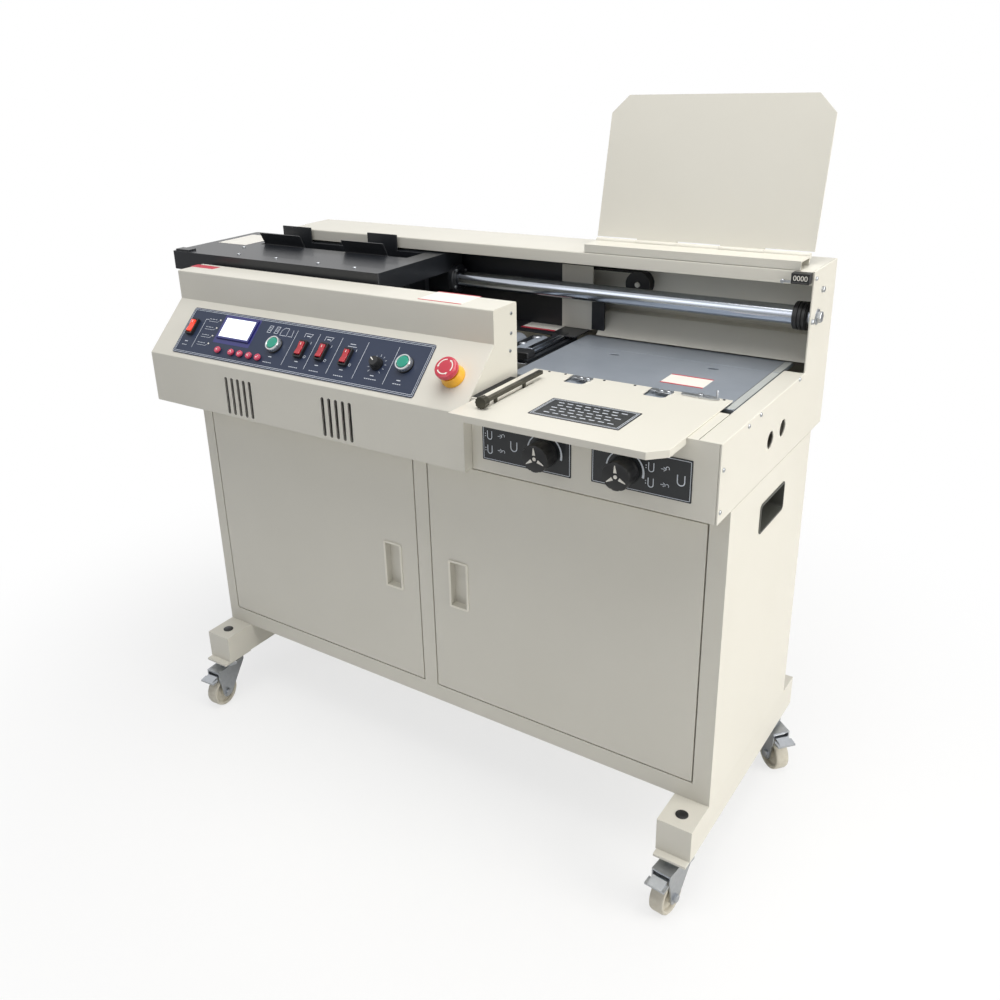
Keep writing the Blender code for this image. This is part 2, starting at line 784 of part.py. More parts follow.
def rocker(name, place, material):
    """A rocker with a hollowed top, pivoted at the level of its frame."""
    x, s = place
    rise, hollow, skirt = 0.0035, 0.0018, 0.006
    skirt_share = 0.55
    wide = rocker_width / 2 - running
    end = rocker_length / 2 - rocker_end_gap
    pivot = (x, s, rocker_frame_height)
    top = rocker_frame_height
    side = outline(
        [
            (s - end * skirt_share, top - skirt), (s + end * skirt_share, top - skirt), (s + end, top - hollow),
            (s + end, top + rise), (s, top + rise - hollow), (s - end, top + rise), (s - end, top - hollow),
        ]
    )
    node(name, material, prism(side, "X", x - wide, x + wide), pivot=pivot, parent=slope)


def speed_knob():
    """A pointer knob: a round skirt with a bar grip across it."""
    x, s = speed_place
    skirt_radius, skirt_height = 0.012, 0.004
    grip_half_width, grip_height = 0.0035, 0.014
    gap, stem_depth = 0.0006, 0.014
    rim_share, reach_share = 0.92, 0.9
    low = seat + overlay_sheet + gap
    reach = skirt_radius * reach_share
    profile = [
        (0, -stem_depth), (speed_stem, -stem_depth), (speed_stem, low), (skirt_radius, low),
        (skirt_radius, low + skirt_height / 2), (skirt_radius * rim_share, low + skirt_height), (0, low + skirt_height),
    ]
    grip = outline(
        [
            (x - grip_half_width, s - reach, grip_half_width / 2),
            (x + grip_half_width, s - reach, grip_half_width / 2),
            (x + grip_half_width / 2, s + reach, seat),
            (x - grip_half_width / 2, s + reach, seat),
        ]
    )
    node(
        "speed_knob",
        black_plastic,
        turned(profile, "Z", (x, s, 0)),
        [("UNION", [prism(grip, "Z", low + skirt_height / 2, low + grip_height)])],
        pivot=(x, s, low),
        parent=slope,
    )


def estop():
    """Yellow collar on the slope and the red mushroom button in it."""
    x, s = estop_place
    collar_radius, collar_top, collar_height = 0.021, 0.017, 0.016
    cap_radius, cap_thickness, cap_edge = 0.020, 0.012, 0.003
    stem_depth = 0.020
    crown_share = 0.6
    inner = estop_stem + 2 * running
    profile = [
        (inner, seat), (collar_radius, seat), (collar_radius, collar_height / 3), (collar_top, collar_height),
        (inner, collar_height),
    ]
    node("estop_collar", yellow, turned(profile, "Z", (x, s, 0), ring=True), parent=slope)
    low = collar_height + estop_travel + seat
    high = low + cap_thickness
    profile = [
        (0, -stem_depth), (estop_stem, -stem_depth), (estop_stem, low), (cap_radius - cap_edge, low),
        (cap_radius, low + cap_edge), (cap_radius, high - cap_edge), (cap_radius - cap_edge, high - cap_edge / 3),
        (cap_radius * crown_share, high), (0, high),
    ]
    node("estop_button", red, turned(profile, "Z", (x, s, 0)), pivot=(x, s, low), parent=slope)


def rear_housing():
    """Folded cover across the back, with the sloping ledge behind the table and the idler's pin."""
    ledge_left_margin, ledge_right_margin = 0.004, 0.009
    ledge_front, ledge_height, ledge_run = 0.068, 0.038, 0.040
    bend = 0.003
    x_low, x_high = -half + plate_sheet + seat, half - plate_sheet - seat
    skin = [
        (housing_front, housing_top - housing_lip_height),
        (housing_front + head_sheet, housing_top - housing_lip_height),
        (housing_front + head_sheet, housing_top - head_sheet),
        (head_rear - head_sheet, housing_top - head_sheet),
        (head_rear - head_sheet, head_top + seat),
        (head_rear, head_top + seat),
        (head_rear, housing_top, bend),
        (housing_front, housing_top, bend),
    ]
    foot = head_rear - ledge_front
    ledge = [
        (foot, head_top + seat), (foot + head_sheet, head_top + seat),
        (foot + ledge_run + head_sheet, head_top + ledge_height - head_sheet),
        (head_rear - lap, head_top + ledge_height - head_sheet), (head_rear - lap, head_top + ledge_height),
        (foot + ledge_run, head_top + ledge_height),
    ]
    pin_start = -belt_width / 2 - pulley_pin_radius
    ledge_low, ledge_high = box_right + ledge_left_margin, half - ledge_right_margin
    pins = [
        rod("Y", (x, belt_y, pulley_z), pulley_pin_radius, pin_start, head_rear - lap - belt_y)
        for x in (idler_x, drive_x)
    ]
    node(
        "rear_housing",
        cream,
        prism(outline(skin), "X", x_low, x_high),
        [("UNION", [prism(ledge, "X", ledge_low, ledge_high)]), ("UNION", pins)],
    )


def belt_guard():
    """Black guard wall behind the shaft, with the bay cover at its foot."""
    wall_end_gap, cover_end_gap = 0.075, 0.015
    cover_top, cover_sheet = 0.0053, 0.002
    cover_front = 0.006
    x_low = -half + plate_sheet + seat
    wall_right, cover_right = box_right - wall_end_gap, box_right - cover_end_gap
    cover = [
        (x_low, housing_front + cover_front), (cover_right, housing_front + cover_front),
        (cover_right, head_rear - head_sheet - seat), (x_low, head_rear - head_sheet - seat),
    ]
    top = head_top + cover_top
    wall = block((x_low, guard_y, top - lap), (wall_right, guard_y + head_sheet, guard_top))
    node("belt_guard", black_paint, prism(cover, "Z", top - cover_sheet, top), [("UNION", [wall])])


def pulley(name, x):
    """A flanged belt pulley on its pin."""
    flange, flange_radius = 0.0015, 0.0045
    width = belt_width / 2 + flange
    inner = pulley_pin_radius + running
    outer = pulley_radius + flange_radius
    profile = [
        (inner, -width - flange), (outer, -width - flange), (outer, -width + flange / 2),
        (pulley_radius, -width + flange), (pulley_radius, width - flange), (outer, width - flange / 2),
        (outer, width + flange), (inner, width + flange),
    ]
    node(
        name, black_plastic, turned(profile, "Y", (x, belt_y, pulley_z), round_steps, ring=True),
        pivot=(x, belt_y, pulley_z),
    )


def stadium(radius, steps=small_steps):
    """Round both pulleys at one radius, as (x, z) points."""
    points = []
    for x, start in ((idler_x, -90), (drive_x, 90)):
        for step in range(steps + 1):
            angle = math.radians(start + 180 * step / steps)
            points.append((x + radius * math.cos(angle), pulley_z + radius * math.sin(angle)))
    return points


def drive_belt():
    inner, y = pulley_radius + seat, belt_y - belt_width / 2
    base = prism(stadium(inner + belt_thickness), "Y", y, y + belt_width)
    hollow = prism(stadium(inner), "Y", y - overrun, y + belt_width + overrun)
    node("drive_belt", rubber, base, [("DIFFERENCE", [hollow])])


def guide_shaft():
    """Guide shaft between the side plates, with its ridged collar."""
    collar_radius, collar_left, collar_right = 0.0235, 0.034, 0.011
    ridges, ridge_depth = 3, 0.0015
    ridge_start_share, ridge_end_share = 0.25, 0.75
    low, high = -half + plate_sheet + seat, half - plate_sheet - seat
    start, end = half - collar_left, half - collar_right
    pitch = (end - start) / ridges
    profile = [(0, low), (shaft_radius, low), (shaft_radius, start)]
    for number in range(ridges):
        x = start + pitch * number
        profile += [
            (collar_radius - ridge_depth, x), (collar_radius, x + pitch * ridge_start_share),
            (collar_radius, x + pitch * ridge_end_share),
        ]
    profile += [(collar_radius - ridge_depth, end), (shaft_radius, end), (shaft_radius, high), (0, high)]
    node("guide_shaft", chrome, turned(profile, "X", (0, shaft_y, shaft_z), fine_steps))


def board_base():
    """Channel on the housing with the fixed hinge knuckles and their pin."""
    sheet = 0.002
    left_margin, right_margin = 0.001, 0.004
    x_low, x_high = board_left + left_margin, board_right - right_margin
    low, high = housing_top + seat, housing_top + board_base_height
    rear = housing_front + board_base_depth
    top_front = 0.0005
    channel = [
        (housing_front + top_front, low), (housing_front + top_front + sheet, low),
        (housing_front + top_front + sheet, high - sheet), (rear - sheet, high - sheet), (rear - sheet, low),
        (rear, low), (rear, high), (housing_front + top_front, high),
    ]
    knuckles = [
        rod("X", (0, hinge_y, hinge_z), hinge_radius, a + knuckle_gap, b - knuckle_gap)
        for a, b in knuckle_spans(x_low, x_high)[::2]
    ]
    straps = []
    for a, b in knuckle_spans(x_low, x_high)[::2]:
        straps.append(block((a + knuckle_gap, rear - lap, high - sheet), (b - knuckle_gap, hinge_y, high)))
    pin = rod("X", (0, hinge_y, hinge_z), hinge_pin_radius, x_low + overrun, x_high - overrun, tiny_steps)
    node(
        "board_base",
        cream,
        prism(channel, "X", x_low, x_high),
        [("UNION", straps), ("UNION", knuckles), ("UNION", [pin])],
    )


def knuckle_spans(x_low, x_high):
    """Five hinge knuckles in a row: the fixed and the moving ones by turns."""
    pitch = (x_high - x_low) / knuckle_count
    return [(x_low + pitch * number, x_low + pitch * (number + 1)) for number in range(knuckle_count)]


def cover_board():
    """Raised board with chamfered top corners, leaning back, and its knuckles on the pin."""
    chamfer = 0.030
    foot_gap = 0.002
    foot = hinge_radius + foot_gap
    left_margin, right_margin = 0.001, 0.004
    x_low, x_high = board_left + left_margin, board_right - right_margin
    frame = Matrix.Translation((0, hinge_y, hinge_z)) @ Matrix.Rotation(-board_lean, 4, "X")
    plate = [
        (board_left, foot), (board_right, foot), (board_right, board_length - chamfer),
        (board_right - chamfer, board_length), (board_left + chamfer, board_length),
        (board_left, board_length - chamfer),
    ]
    front = hinge_radius - board_sheet
    base = prism(plate, "Y", front, front + board_sheet)
    base.transform(frame)
    moving = knuckle_spans(x_low, x_high)[1::2]
    knuckles = [
        rod("X", (0, hinge_y, hinge_z), hinge_radius, a + knuckle_gap, b - knuckle_gap) for a, b in moving
    ]
    leaves = [block((a + knuckle_gap, front, 0), (b - knuckle_gap, front + board_sheet, foot + lap)) for a, b in moving]
    for leaf in leaves:
        leaf.transform(frame)
    pin_hole = bore("X", (0, hinge_y, hinge_z), hinge_pin_radius, x_low - overrun, x_high + overrun, tiny_steps)
    node(
        "cover_board",
        cream,
        base,
        [("UNION", leaves), ("UNION", knuckles), ("DIFFERENCE", [pin_hole])],
        pivot=(0, hinge_y, hinge_z),
    )


def counter():
    left, right, height, depth = 0.032, 0.003, 0.017, 0.016
    above_lip_foot = 0.004
    low = housing_top - housing_lip_height + above_lip_foot
    window_edge, window_depth = 0.0025, 0.001
    front = housing_front - seat - depth
    base = block((half - left, front, low), (half - right - seat, housing_front - seat, low + height))
    window = block(
        (half - left + window_edge, front - overrun, low + window_edge),
        (half - right - seat - window_edge, front + window_depth, low + height - window_edge),
    )
    node("counter", black_plastic, base, [("DIFFERENCE", [window])])


def feed_table():
    """Sheet table with a turned-down front edge, rear notches and the gauge's slot."""
    chamfer, rim_drop, rim_gap = 0.024, 0.009, 0.003
    notch_shares, notch_width, notch_depth, notch_radius = (0.27, 0.675), 0.037, 0.040, 0.006
    low = feed_top - feed_sheet
    points = [
        (feed_left, feed_front), (feed_right - chamfer, feed_front), (feed_right, feed_front + chamfer),
        (feed_right, feed_rear), (feed_left, feed_rear),
    ]
    base = prism(points, "Z", low - rim_drop, feed_top)
    pocket = inset(points, feed_sheet)
    under = [
        prism([point[:2] for point in pocket], "Z", low - rim_drop - overrun, low),
        block(
            (feed_left - overrun, head_front - rim_gap, low - rim_drop - overrun),
            (feed_right + overrun, feed_rear + overrun, low),
        ),
    ]
    cuts = []
    for share in notch_shares:
        middle = feed_left + (feed_right - feed_left) * share
        span = (middle - notch_width / 2, feed_rear - notch_depth, middle + notch_width / 2, feed_rear + notch_width)
        cuts.append(prism(slot_outline(*span, notch_radius), "Z", low - overrun, feed_top + overrun))
    half_slot = gauge_stud_radius + running
    span = (gauge_x - half_slot, gauge_slot_front, gauge_x + half_slot, gauge_slot_rear)
    cuts.append(prism(slot_outline(*span, half_slot - seat / 2), "Z", low - overrun, feed_top + overrun))
    node("feed_table", cream, base, [("DIFFERENCE", under), ("DIFFERENCE", cuts)])


def side_gauge():
    """Gauge bar over the slot, on two studs, with a knurled end knob."""
    bar_width, bar_height, bar_lift = 0.008, 0.006, 0.0075
    grip_radius, grip_length, grip_neck = 0.0100, 0.012, 0.006
    knurl_count, knurl_depth = 12, 0.0010
    bar_from_edge, bar_length = 0.046, 0.167
    bar_front = feed_front + bar_from_edge
    bar_rear = bar_front + bar_length
    low = feed_top + bar_lift
    base = block(
        (gauge_x - bar_width / 2, bar_front, low), (gauge_x + bar_width / 2, bar_rear, low + bar_height)
    )
    feet, studs = [], []
    for y in (gauge_slot_front + gauge_stud_inset, gauge_slot_rear - gauge_stud_inset):
        feet.append(rod("Z", (gauge_x, y, feed_top + seat), bar_width / 2 - lap, 0, bar_lift))
        studs.append(rod("Z", (gauge_x, y, feed_top - feed_sheet), gauge_stud_radius, 0, feed_sheet + bar_lift))
    middle = (gauge_x, bar_front, low + bar_height / 2)
    neck = rod("Y", middle, grip_neck, -grip_length / 2, lap)
    ribbed = []
    for number in range(2 * knurl_count):
        angle = math.pi * number / knurl_count
        radius = grip_radius - knurl_depth * (number % 2)
        ribbed.append((middle[0] + radius * math.cos(angle), middle[2] + radius * math.sin(angle)))
    grip = prism(ribbed, "Y", bar_front - grip_length, bar_front)
    node(
        "side_gauge",
        zinc,
        base,
        [("UNION", [neck]), ("UNION", [grip]), ("UNION", feet), ("UNION", studs)],
    )


def nip_plates():
    """The steel table in two plates that close on the book's spine."""
    edge = 0.003
    hole_length, hole_width = 0.020, 0.008
    hole_before_seam = 0.0265
    hole_shares = (0.27, 0.735)
    profile = [
        (table_left, table_bottom), (table_right, table_bottom), (table_right, table_top - edge),
        (table_right - edge, table_top), (table_left + edge, table_top), (table_left, table_top - edge),
    ]
    holes = []
    for share in hole_shares:
        x = table_left + (table_right - table_left) * share
        y = table_seam - hole_before_seam
        span = (x - hole_length / 2, y - hole_width / 2, x + hole_length / 2, y + hole_width / 2)
        points = slot_outline(*span, hole_width / 2 - seat)
        holes.append(prism(points, "Z", table_bottom - overrun, table_top + overrun))
    node(
        "front_nip_plate", steel, prism(profile, "Y", table_front, table_seam - nip_gap / 2), [("DIFFERENCE", holes)]
    )
    node("rear_nip_plate", steel, prism(profile, "Y", table_seam + nip_gap / 2, table_rear))


def glue_tank():
    """Open glue tank on legs, with the bearings of its two rollers."""
    wall, leg = 0.004, 0.018
    base = block((tank_left, tank_front, tank_bottom), (tank_right, tank_rear, tank_top))
    inside = block(
        (tank_left + wall, tank_front + wall, tank_bottom + wall),
        (tank_right - wall, tank_rear - wall, tank_top + overrun),
    )
    floor = head_bottom + head_sheet + seat
    legs = [
        block((x, y, floor), (x + leg, y + leg, tank_bottom + lap))
        for x in (tank_left + wall, tank_right - wall - leg)
        for y in (tank_front + wall, tank_rear - wall - leg)
    ]
    bores = [
        bore("Y", (x, tank_front, roller_z), roller_shaft_radius, -overrun, tank_rear - tank_front + overrun)
        for x in roller_places
    ]
    node("glue_tank", aluminium, base, [("DIFFERENCE", [inside]), ("UNION", legs), ("DIFFERENCE", bores)])


def glue_roller(name, x):
    wall, side_gap, shaft_reach = 0.004, 0.003, 0.008
    low, high = tank_front + wall + side_gap, tank_rear - wall - side_gap
    groove, edge = 0.0015, 0.002
    profile = [
        (0, tank_front - shaft_reach), (roller_shaft_radius, tank_front - shaft_reach), (roller_shaft_radius, low),
        (roller_radius - edge, low), (roller_radius, low + edge), (roller_radius, high - edge),
        (roller_radius - groove, high), (roller_shaft_radius, high), (roller_shaft_radius, tank_rear + shaft_reach),
        (0, tank_rear + shaft_reach),
    ]
    node(name, steel, turned(profile, "Y", (x, 0, roller_z)), pivot=(x, tank_front, roller_z))


def milling():
    """Spine mill: an upright finned motor, and the toothed cutter on its shaft."""
    motor_radius, fin_depth, fins, fin_pitch = 0.045, 0.004, 4, 0.015
    foot_radius, foot_height, neck_radius, neck_height = 0.055, 0.006, 0.024, 0.010
    cutter_shaft, shaft_depth = 0.006, 0.030
    cutter_radius, tooth_depth, teeth, cutter_thickness = 0.038, 0.005, 12, 0.010
    crest_share, root_share, root_end_share = 0.35, 0.5, 0.9
    cutter_below_jaw, cutter_gap = 0.016, 0.003
    cutter_top = jaw_bottom - cutter_below_jaw
    low = head_bottom + head_sheet + seat
    top = cutter_top - cutter_thickness - cutter_gap
    shoulder = top - neck_height
    place = (mill_x, mill_y, 0)
    profile = [
        (0, low), (foot_radius, low), (foot_radius, low + foot_height), (motor_radius - fin_depth, low + foot_height),
    ]
    fin_low = low + foot_height * 2
    for number in range(fins):
        z = fin_low + fin_pitch * number
        profile += [
            (motor_radius - fin_depth, z), (motor_radius, z), (motor_radius, z + fin_pitch / 2),
            (motor_radius - fin_depth, z + fin_pitch / 2),
        ]
    profile += [(motor_radius - fin_depth, shoulder), (neck_radius, shoulder), (neck_radius, top), (0, top)]
    hole = bore("Z", place, cutter_shaft, top - shaft_depth - seat, top + overrun)
    node("milling_motor", grey_paint, turned(profile, "Z", place, small_steps), [("DIFFERENCE", [hole])])
    points = []
    for number in range(teeth):
        for share, radius in (
            (0, cutter_radius), (crest_share, cutter_radius), (root_share, cutter_radius - tooth_depth),
            (root_end_share, cutter_radius - tooth_depth),
        ):
            angle = math.tau * (number + share) / teeth
            points.append((mill_x + radius * math.cos(angle), mill_y + radius * math.sin(angle)))
    shaft = rod("Z", place, cutter_shaft, top - shaft_depth, cutter_top - cutter_thickness + lap)
    node(
        "milling_cutter", steel, prism(points, "Z", cutter_top - cutter_thickness, cutter_top), [("UNION", [shaft])],
        pivot=(mill_x, mill_y, cutter_top),
    )


def carriage_frame():
    """Cast clamp frame: plate with the jaw window, two shaft bearings, guide bores and the belt arm."""
    wall, roof = 0.008, 0.010
    window_side_gap = 0.003
    bearing_length, bearing_wall = 0.060, 0.008
    left_bearing_inset = 0.179
    arm_length, arm_sheet, arm_gap = 0.022, 0.006, 0.002
    clamp_wall = 0.0035
    edge_radius = 0.006
    bearing_bottom = shaft_z - shaft_radius - bearing_wall / 2
    plate = outline(
        [
            (carriage_left, carriage_front, edge_radius), (carriage_right, carriage_front, edge_radius),
            (carriage_right, carriage_rear), (carriage_left, carriage_rear, edge_radius),
        ]
    )
    window_front = front_jaw_face - jaw_thickness - seat
    window_rear = rear_jaw_face + jaw_thickness + seat
    window = block(
        (jaw_left - window_side_gap, window_front, carriage_bottom - overrun),
        (jaw_right + window_side_gap, window_rear, carriage_top + overrun),
    )
    bearing_places = (carriage_left + left_bearing_inset, carriage_right - bearing_length)
    front, rear = shaft_y - shaft_radius - bearing_wall, shaft_y + shaft_radius + bearing_wall
    bearings = [
        block((x, front, bearing_bottom), (x + bearing_length, rear, carriage_top)) for x in bearing_places
    ]
    pockets = [
        block((a, carriage_front + wall, carriage_bottom - overrun), (b, window_front - wall, carriage_top - roof))
        for a, b in (
            (carriage_left + wall, jaw_left - wall), (jaw_left, (jaw_left + jaw_right) / 2 - wall),
            ((jaw_left + jaw_right) / 2 + wall, jaw_right),
        )
    ]
    bores = [
        bore("Y", (x, 0, guide_rod_z), guide_rod_radius, guide_rod_front - overrun, window_front + overrun)
        for x in guide_rod_places
    ]
    shaft_bore = bore(
        "X", (0, shaft_y, shaft_z), shaft_radius, carriage_left + wall, carriage_right + wall, fine_steps
    )
    arm_x = drive_x + arm_from_drive
    belt_top = pulley_z + pulley_radius + belt_thickness + seat
    arm_low = guard_top + arm_gap
    arm_rear = belt_y + belt_width / 2 + clamp_wall
    arm = block((arm_x, carriage_rear - wall, arm_low), (arm_x + arm_length, arm_rear, arm_low + arm_sheet))
    clamp_low = belt_top - belt_thickness - clamp_wall - seat
    clamp = block(
        (arm_x, belt_y - belt_width / 2 - clamp_wall, clamp_low), (arm_x + arm_length, arm_rear, arm_low + lap)
    )
    grip = block(
        (arm_x - overrun, belt_y - belt_width / 2 - seat, belt_top - belt_thickness - 2 * seat),
        (arm_x + arm_length + overrun, belt_y + belt_width / 2 + seat, belt_top + seat),
    )
    block_corner = (carriage_left + wall, carriage_front + wall / 2, carriage_top - lap)
    stop_block = block(block_corner, (carriage_left + wall * 6, carriage_front + wall * 3, carriage_top + wall / 2))
    node(
        "carriage_frame",
        black_paint,
        prism(plate, "Z", carriage_bottom, carriage_top),
        [
            ("UNION", bearings),
            ("UNION", [arm, clamp]),
            ("UNION", [stop_block]),
            ("DIFFERENCE", [window] + pockets),
            ("DIFFERENCE", [shaft_bore]),
            ("DIFFERENCE", bores),
            ("DIFFERENCE", [grip]),
        ],
    )


def rear_jaw():
    """Fixed jaw in the carriage window, with its two upright guide plates."""
    left_plate_start, left_plate_end = 0.004, 0.086
    right_plate_start, right_plate_end = 0.143, 0.067
    plates = (
        (jaw_left + left_plate_start, jaw_left + left_plate_end),
        (jaw_right - right_plate_start, jaw_right - right_plate_end),
    )
    guide_sheet, guide_bend = 0.003, 0.004
    top = carriage_top - lap * 2
    base = block((jaw_left, rear_jaw_face, jaw_bottom), (jaw_right, rear_jaw_face + jaw_thickness, top))
    guides = [
        block(
            (a, rear_jaw_face, top - guide_bend),
            (b, rear_jaw_face + guide_sheet, guide_plate_top),
        )
        for a, b in plates
    ]
    node("rear_jaw", black_paint, base, [("UNION", guides)])


def front_jaw():
    """Moving jaw with flared guide plates and the two rods that guide it."""
    left_plate_end = 0.115
    right_plate_start, right_plate_end = 0.157, 0.049
    plates = ((jaw_left, jaw_left + left_plate_end), (jaw_right - right_plate_start, jaw_right - right_plate_end))
    guide_sheet, flare, rise = 0.003, 0.012, 0.026
    top = carriage_top - lap * 2
    back = front_jaw_face - jaw_thickness
    base = block((jaw_left, back, jaw_bottom), (jaw_right, front_jaw_face, top))
    section = [
        (front_jaw_face - guide_sheet, top - guide_sheet), (front_jaw_face, top - guide_sheet),
        (front_jaw_face, top + guide_sheet), (front_jaw_face - flare, top + rise),
        (front_jaw_face - flare - guide_sheet, top + rise), (front_jaw_face - guide_sheet, top + guide_sheet),
    ]
    guides = [prism(section, "X", a, b) for a, b in plates]
    rods = [rod("Y", (x, 0, guide_rod_z), guide_rod_radius, guide_rod_front, back + lap) for x in guide_rod_places]
    node("front_jaw", black_paint, base, [("UNION", guides), ("UNION", rods)])


for leftover in list(bpy.data.objects):
    bpy.data.objects.remove(leftover)

cream = finish("cream", (0.72, 0.69, 0.60), 0.45)
off_white = finish("off white", (0.78, 0.76, 0.70), 0.5)
zinc = finish("zinc", (0.55, 0.56, 0.57), 0.35, 0.9)
steel = finish("table steel", (0.42, 0.46, 0.48), 0.3, 0.9)
aluminium = finish("aluminium", (0.62, 0.63, 0.64), 0.35, 0.9)
chrome = finish("chrome", (0.75, 0.76, 0.78), 0.12, 1.0)
navy = finish("navy", (0.03, 0.05, 0.10), 0.4)
black_paint = finish("black paint", (0.02, 0.02, 0.022), 0.4)
black_plastic = finish("black plastic", (0.015, 0.015, 0.016), 0.45)
grey_paint = finish("grey paint", (0.25, 0.27, 0.28), 0.5)
rubber = finish("rubber", (0.02, 0.02, 0.02), 0.8)
green = finish("green", (0.0, 0.30, 0.16), 0.35)
red = finish("red", (0.55, 0.02, 0.03), 0.35)
yellow = finish("yellow", (0.80, 0.55, 0.02), 0.4)

# Door spans: left edge, right edge and pivot of each
post_x = -0.001
door_bottom = cabinet_bottom + door_bottom_margin
door_top = cabinet_top - door_top_margin
left_door_left = -half + door_left_margin
right_door_right = half - door_right_margin
door_spans = {
    "left": (left_door_left, post_x - door_post_width / 2, left_door_left + door_pivot_inset),
    "right": (post_x + door_post_width / 2, right_door_right, right_door_right - door_pivot_inset),
}
pull_from_edge = 0.0575

# Caster places
front_caster_y = beam_front + front_caster_inset
rear_caster_y = beam_rear - rear_caster_inset

# Knobs on the front panel
knob_radius = 0.023
knob_shaft_radius = 0.004
knob_below_top = 0.067
knob_shares = (0.327, 0.654)
knob_z = head_top - knob_below_top
knob_places = [box_right + (half - box_right) * share for share in knob_shares]

# Controls on the slope: distances from the box's left end, and distances up the slope
overlay_sheet = 0.001
overlay_left_margin, overlay_right_margin = 0.056, 0.104
overlay_left, overlay_right = box_left + overlay_left_margin, box_right - overlay_right_margin
overlay_low, overlay_high = 0.010, 0.112
button_distances = {"start_button": (0.306, 0.059), "cover_button": (0.603, 0.066)}
rocker_distances = {
    "power_switch": (0.079, 0.068),
    "rocker_1": (0.371, 0.060),
    "rocker_2": (0.420, 0.062),
    "rocker_3": (0.477, 0.060),
}
key_distances = (0.175, 0.211, 0.234, 0.258, 0.281)
speed_distances = (0.546, 0.058)
estop_distances = (0.702, 0.061)
lcd_left_margin, lcd_width, lcd_low, lcd_high = 0.153, 0.086, 0.054, 0.103
button_places = {name: (box_left + across, up) for name, (across, up) in button_distances.items()}
rocker_places = {name: (box_left + across, up) for name, (across, up) in rocker_distances.items()}
key_places = [box_left + across for across in key_distances]
key_s = 0.029
key_radius, key_stem, key_travel = 0.0065, 0.0025, 0.0015
speed_place = (box_left + speed_distances[0], speed_distances[1])
speed_stem = 0.003
estop_place = (box_left + estop_distances[0], estop_distances[1])
estop_stem, estop_travel = 0.011, 0.004
button_radius, button_stem, button_travel = 0.011, 0.005, 0.004
bezel_radius, bezel_height = 0.0148, 0.010
rocker_width, rocker_length, rocker_stem = 0.012, 0.028, 0.0055
rocker_frame_width, rocker_frame_length, rocker_frame_height = 0.017, 0.034, 0.008
rocker_end_gap = 0.0015
lcd_left = box_left + lcd_left_margin
box_slope_y = box_front + box_slope_run

# Side gauge and its slot in the feed table
gauge_from_left, gauge_slot_margin, gauge_slot_length = 0.036, 0.049, 0.138
gauge_x = feed_left + gauge_from_left
gauge_slot_front = feed_front + gauge_slot_margin
gauge_slot_rear = gauge_slot_front + gauge_slot_length
gauge_stud_radius, gauge_stud_inset = 0.0025, 0.027

# Glue tank, its rollers and the mill
tank_gap, tank_width, tank_depth, tank_height = 0.007, 0.145, 0.150, 0.071
tank_right = table_left - tank_gap
tank_left = tank_right - tank_width
tank_rear = table_seam + tank_gap
tank_front = tank_rear - tank_depth
roller_radius, roller_shaft_radius = 0.022, 0.006
roller_below_jaw = 0.016
roller_z = jaw_bottom - roller_below_jaw - roller_radius
tank_top = roller_z + roller_radius / 2
tank_bottom = tank_top - tank_height
roller_spread = 0.052
roller_places = [(tank_left + tank_right) / 2 - roller_spread / 2, (tank_left + tank_right) / 2 + roller_spread / 2]
mill_y = (front_jaw_face + rear_jaw_face) / 2
mill_to_tank = 0.230
mill_x = tank_left - mill_to_tank

# Front jaw guides and the belt arm
guide_rod_radius, guide_rod_length = 0.006, 0.118
guide_rod_height_share, guide_rod_shares = 0.45, (0.2, 0.8)
guide_rod_z = carriage_bottom + carriage_thickness * guide_rod_height_share
guide_rod_front = front_jaw_face - jaw_thickness - guide_rod_length
guide_rod_places = [jaw_left + jaw_length * share for share in guide_rod_shares]
arm_from_drive = 0.026
knuckle_count, knuckle_gap = 5, 0.0002

machine = empty("machine_origin", (-centre_x, -centre_y, 0))
slope = empty(
    "control_slope", (0, box_front, box_slope_foot), machine, (math.atan2(box_slope_rise, box_slope_run), 0, 0)
)

cabinet_shell()
door("left", post_x - door_post_width / 2 - pull_from_edge)
door("right", post_x + door_post_width / 2 + pull_from_edge)
for beam_side, beam_sign in (("left", -1), ("right", 1)):
    base_beam(beam_side, beam_sign)
    beam_x = beam_sign * (half - beam_size / 2)
    caster(f"front_{beam_side}", beam_x, front_caster_y)
    caster(f"rear_{beam_side}", beam_x, rear_caster_y)
head_frame()
side_plate_right()
knob_panel()
adjust_knob("adjust_knob_left", knob_places[0])
adjust_knob("adjust_knob_right", knob_places[1])
control_box()
panel_overlay()
lcd_display()
for button_name, button_place in button_places.items():
    push_button(button_name, button_place)
for key_number, key_x in enumerate(key_places, 1):
    key(f"key_{key_number}", key_x)
for rocker_name, rocker_place in rocker_places.items():
    rocker(rocker_name, rocker_place, red)
speed_knob()
estop()
rear_housing()
belt_guard()
pulley("idler_pulley", idler_x)
pulley("drive_pulley", drive_x)
drive_belt()
guide_shaft()
board_base()
cover_board()
counter()
feed_table()
side_gauge()
nip_plates()
glue_tank()
glue_roller("glue_roller_left", roller_places[0])
glue_roller("glue_roller_right", roller_places[1])
milling()
carriage_frame()
rear_jaw()
front_jaw()
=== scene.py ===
"""Looks of a perfect binding machine, built over its CAD frame.

Machine coordinates are in millimetres: X from the cabinet's middle, Y from its front, Z from the floor.
"""

import json
import math

import bmesh
import bpy
from mathutils import Matrix, Vector


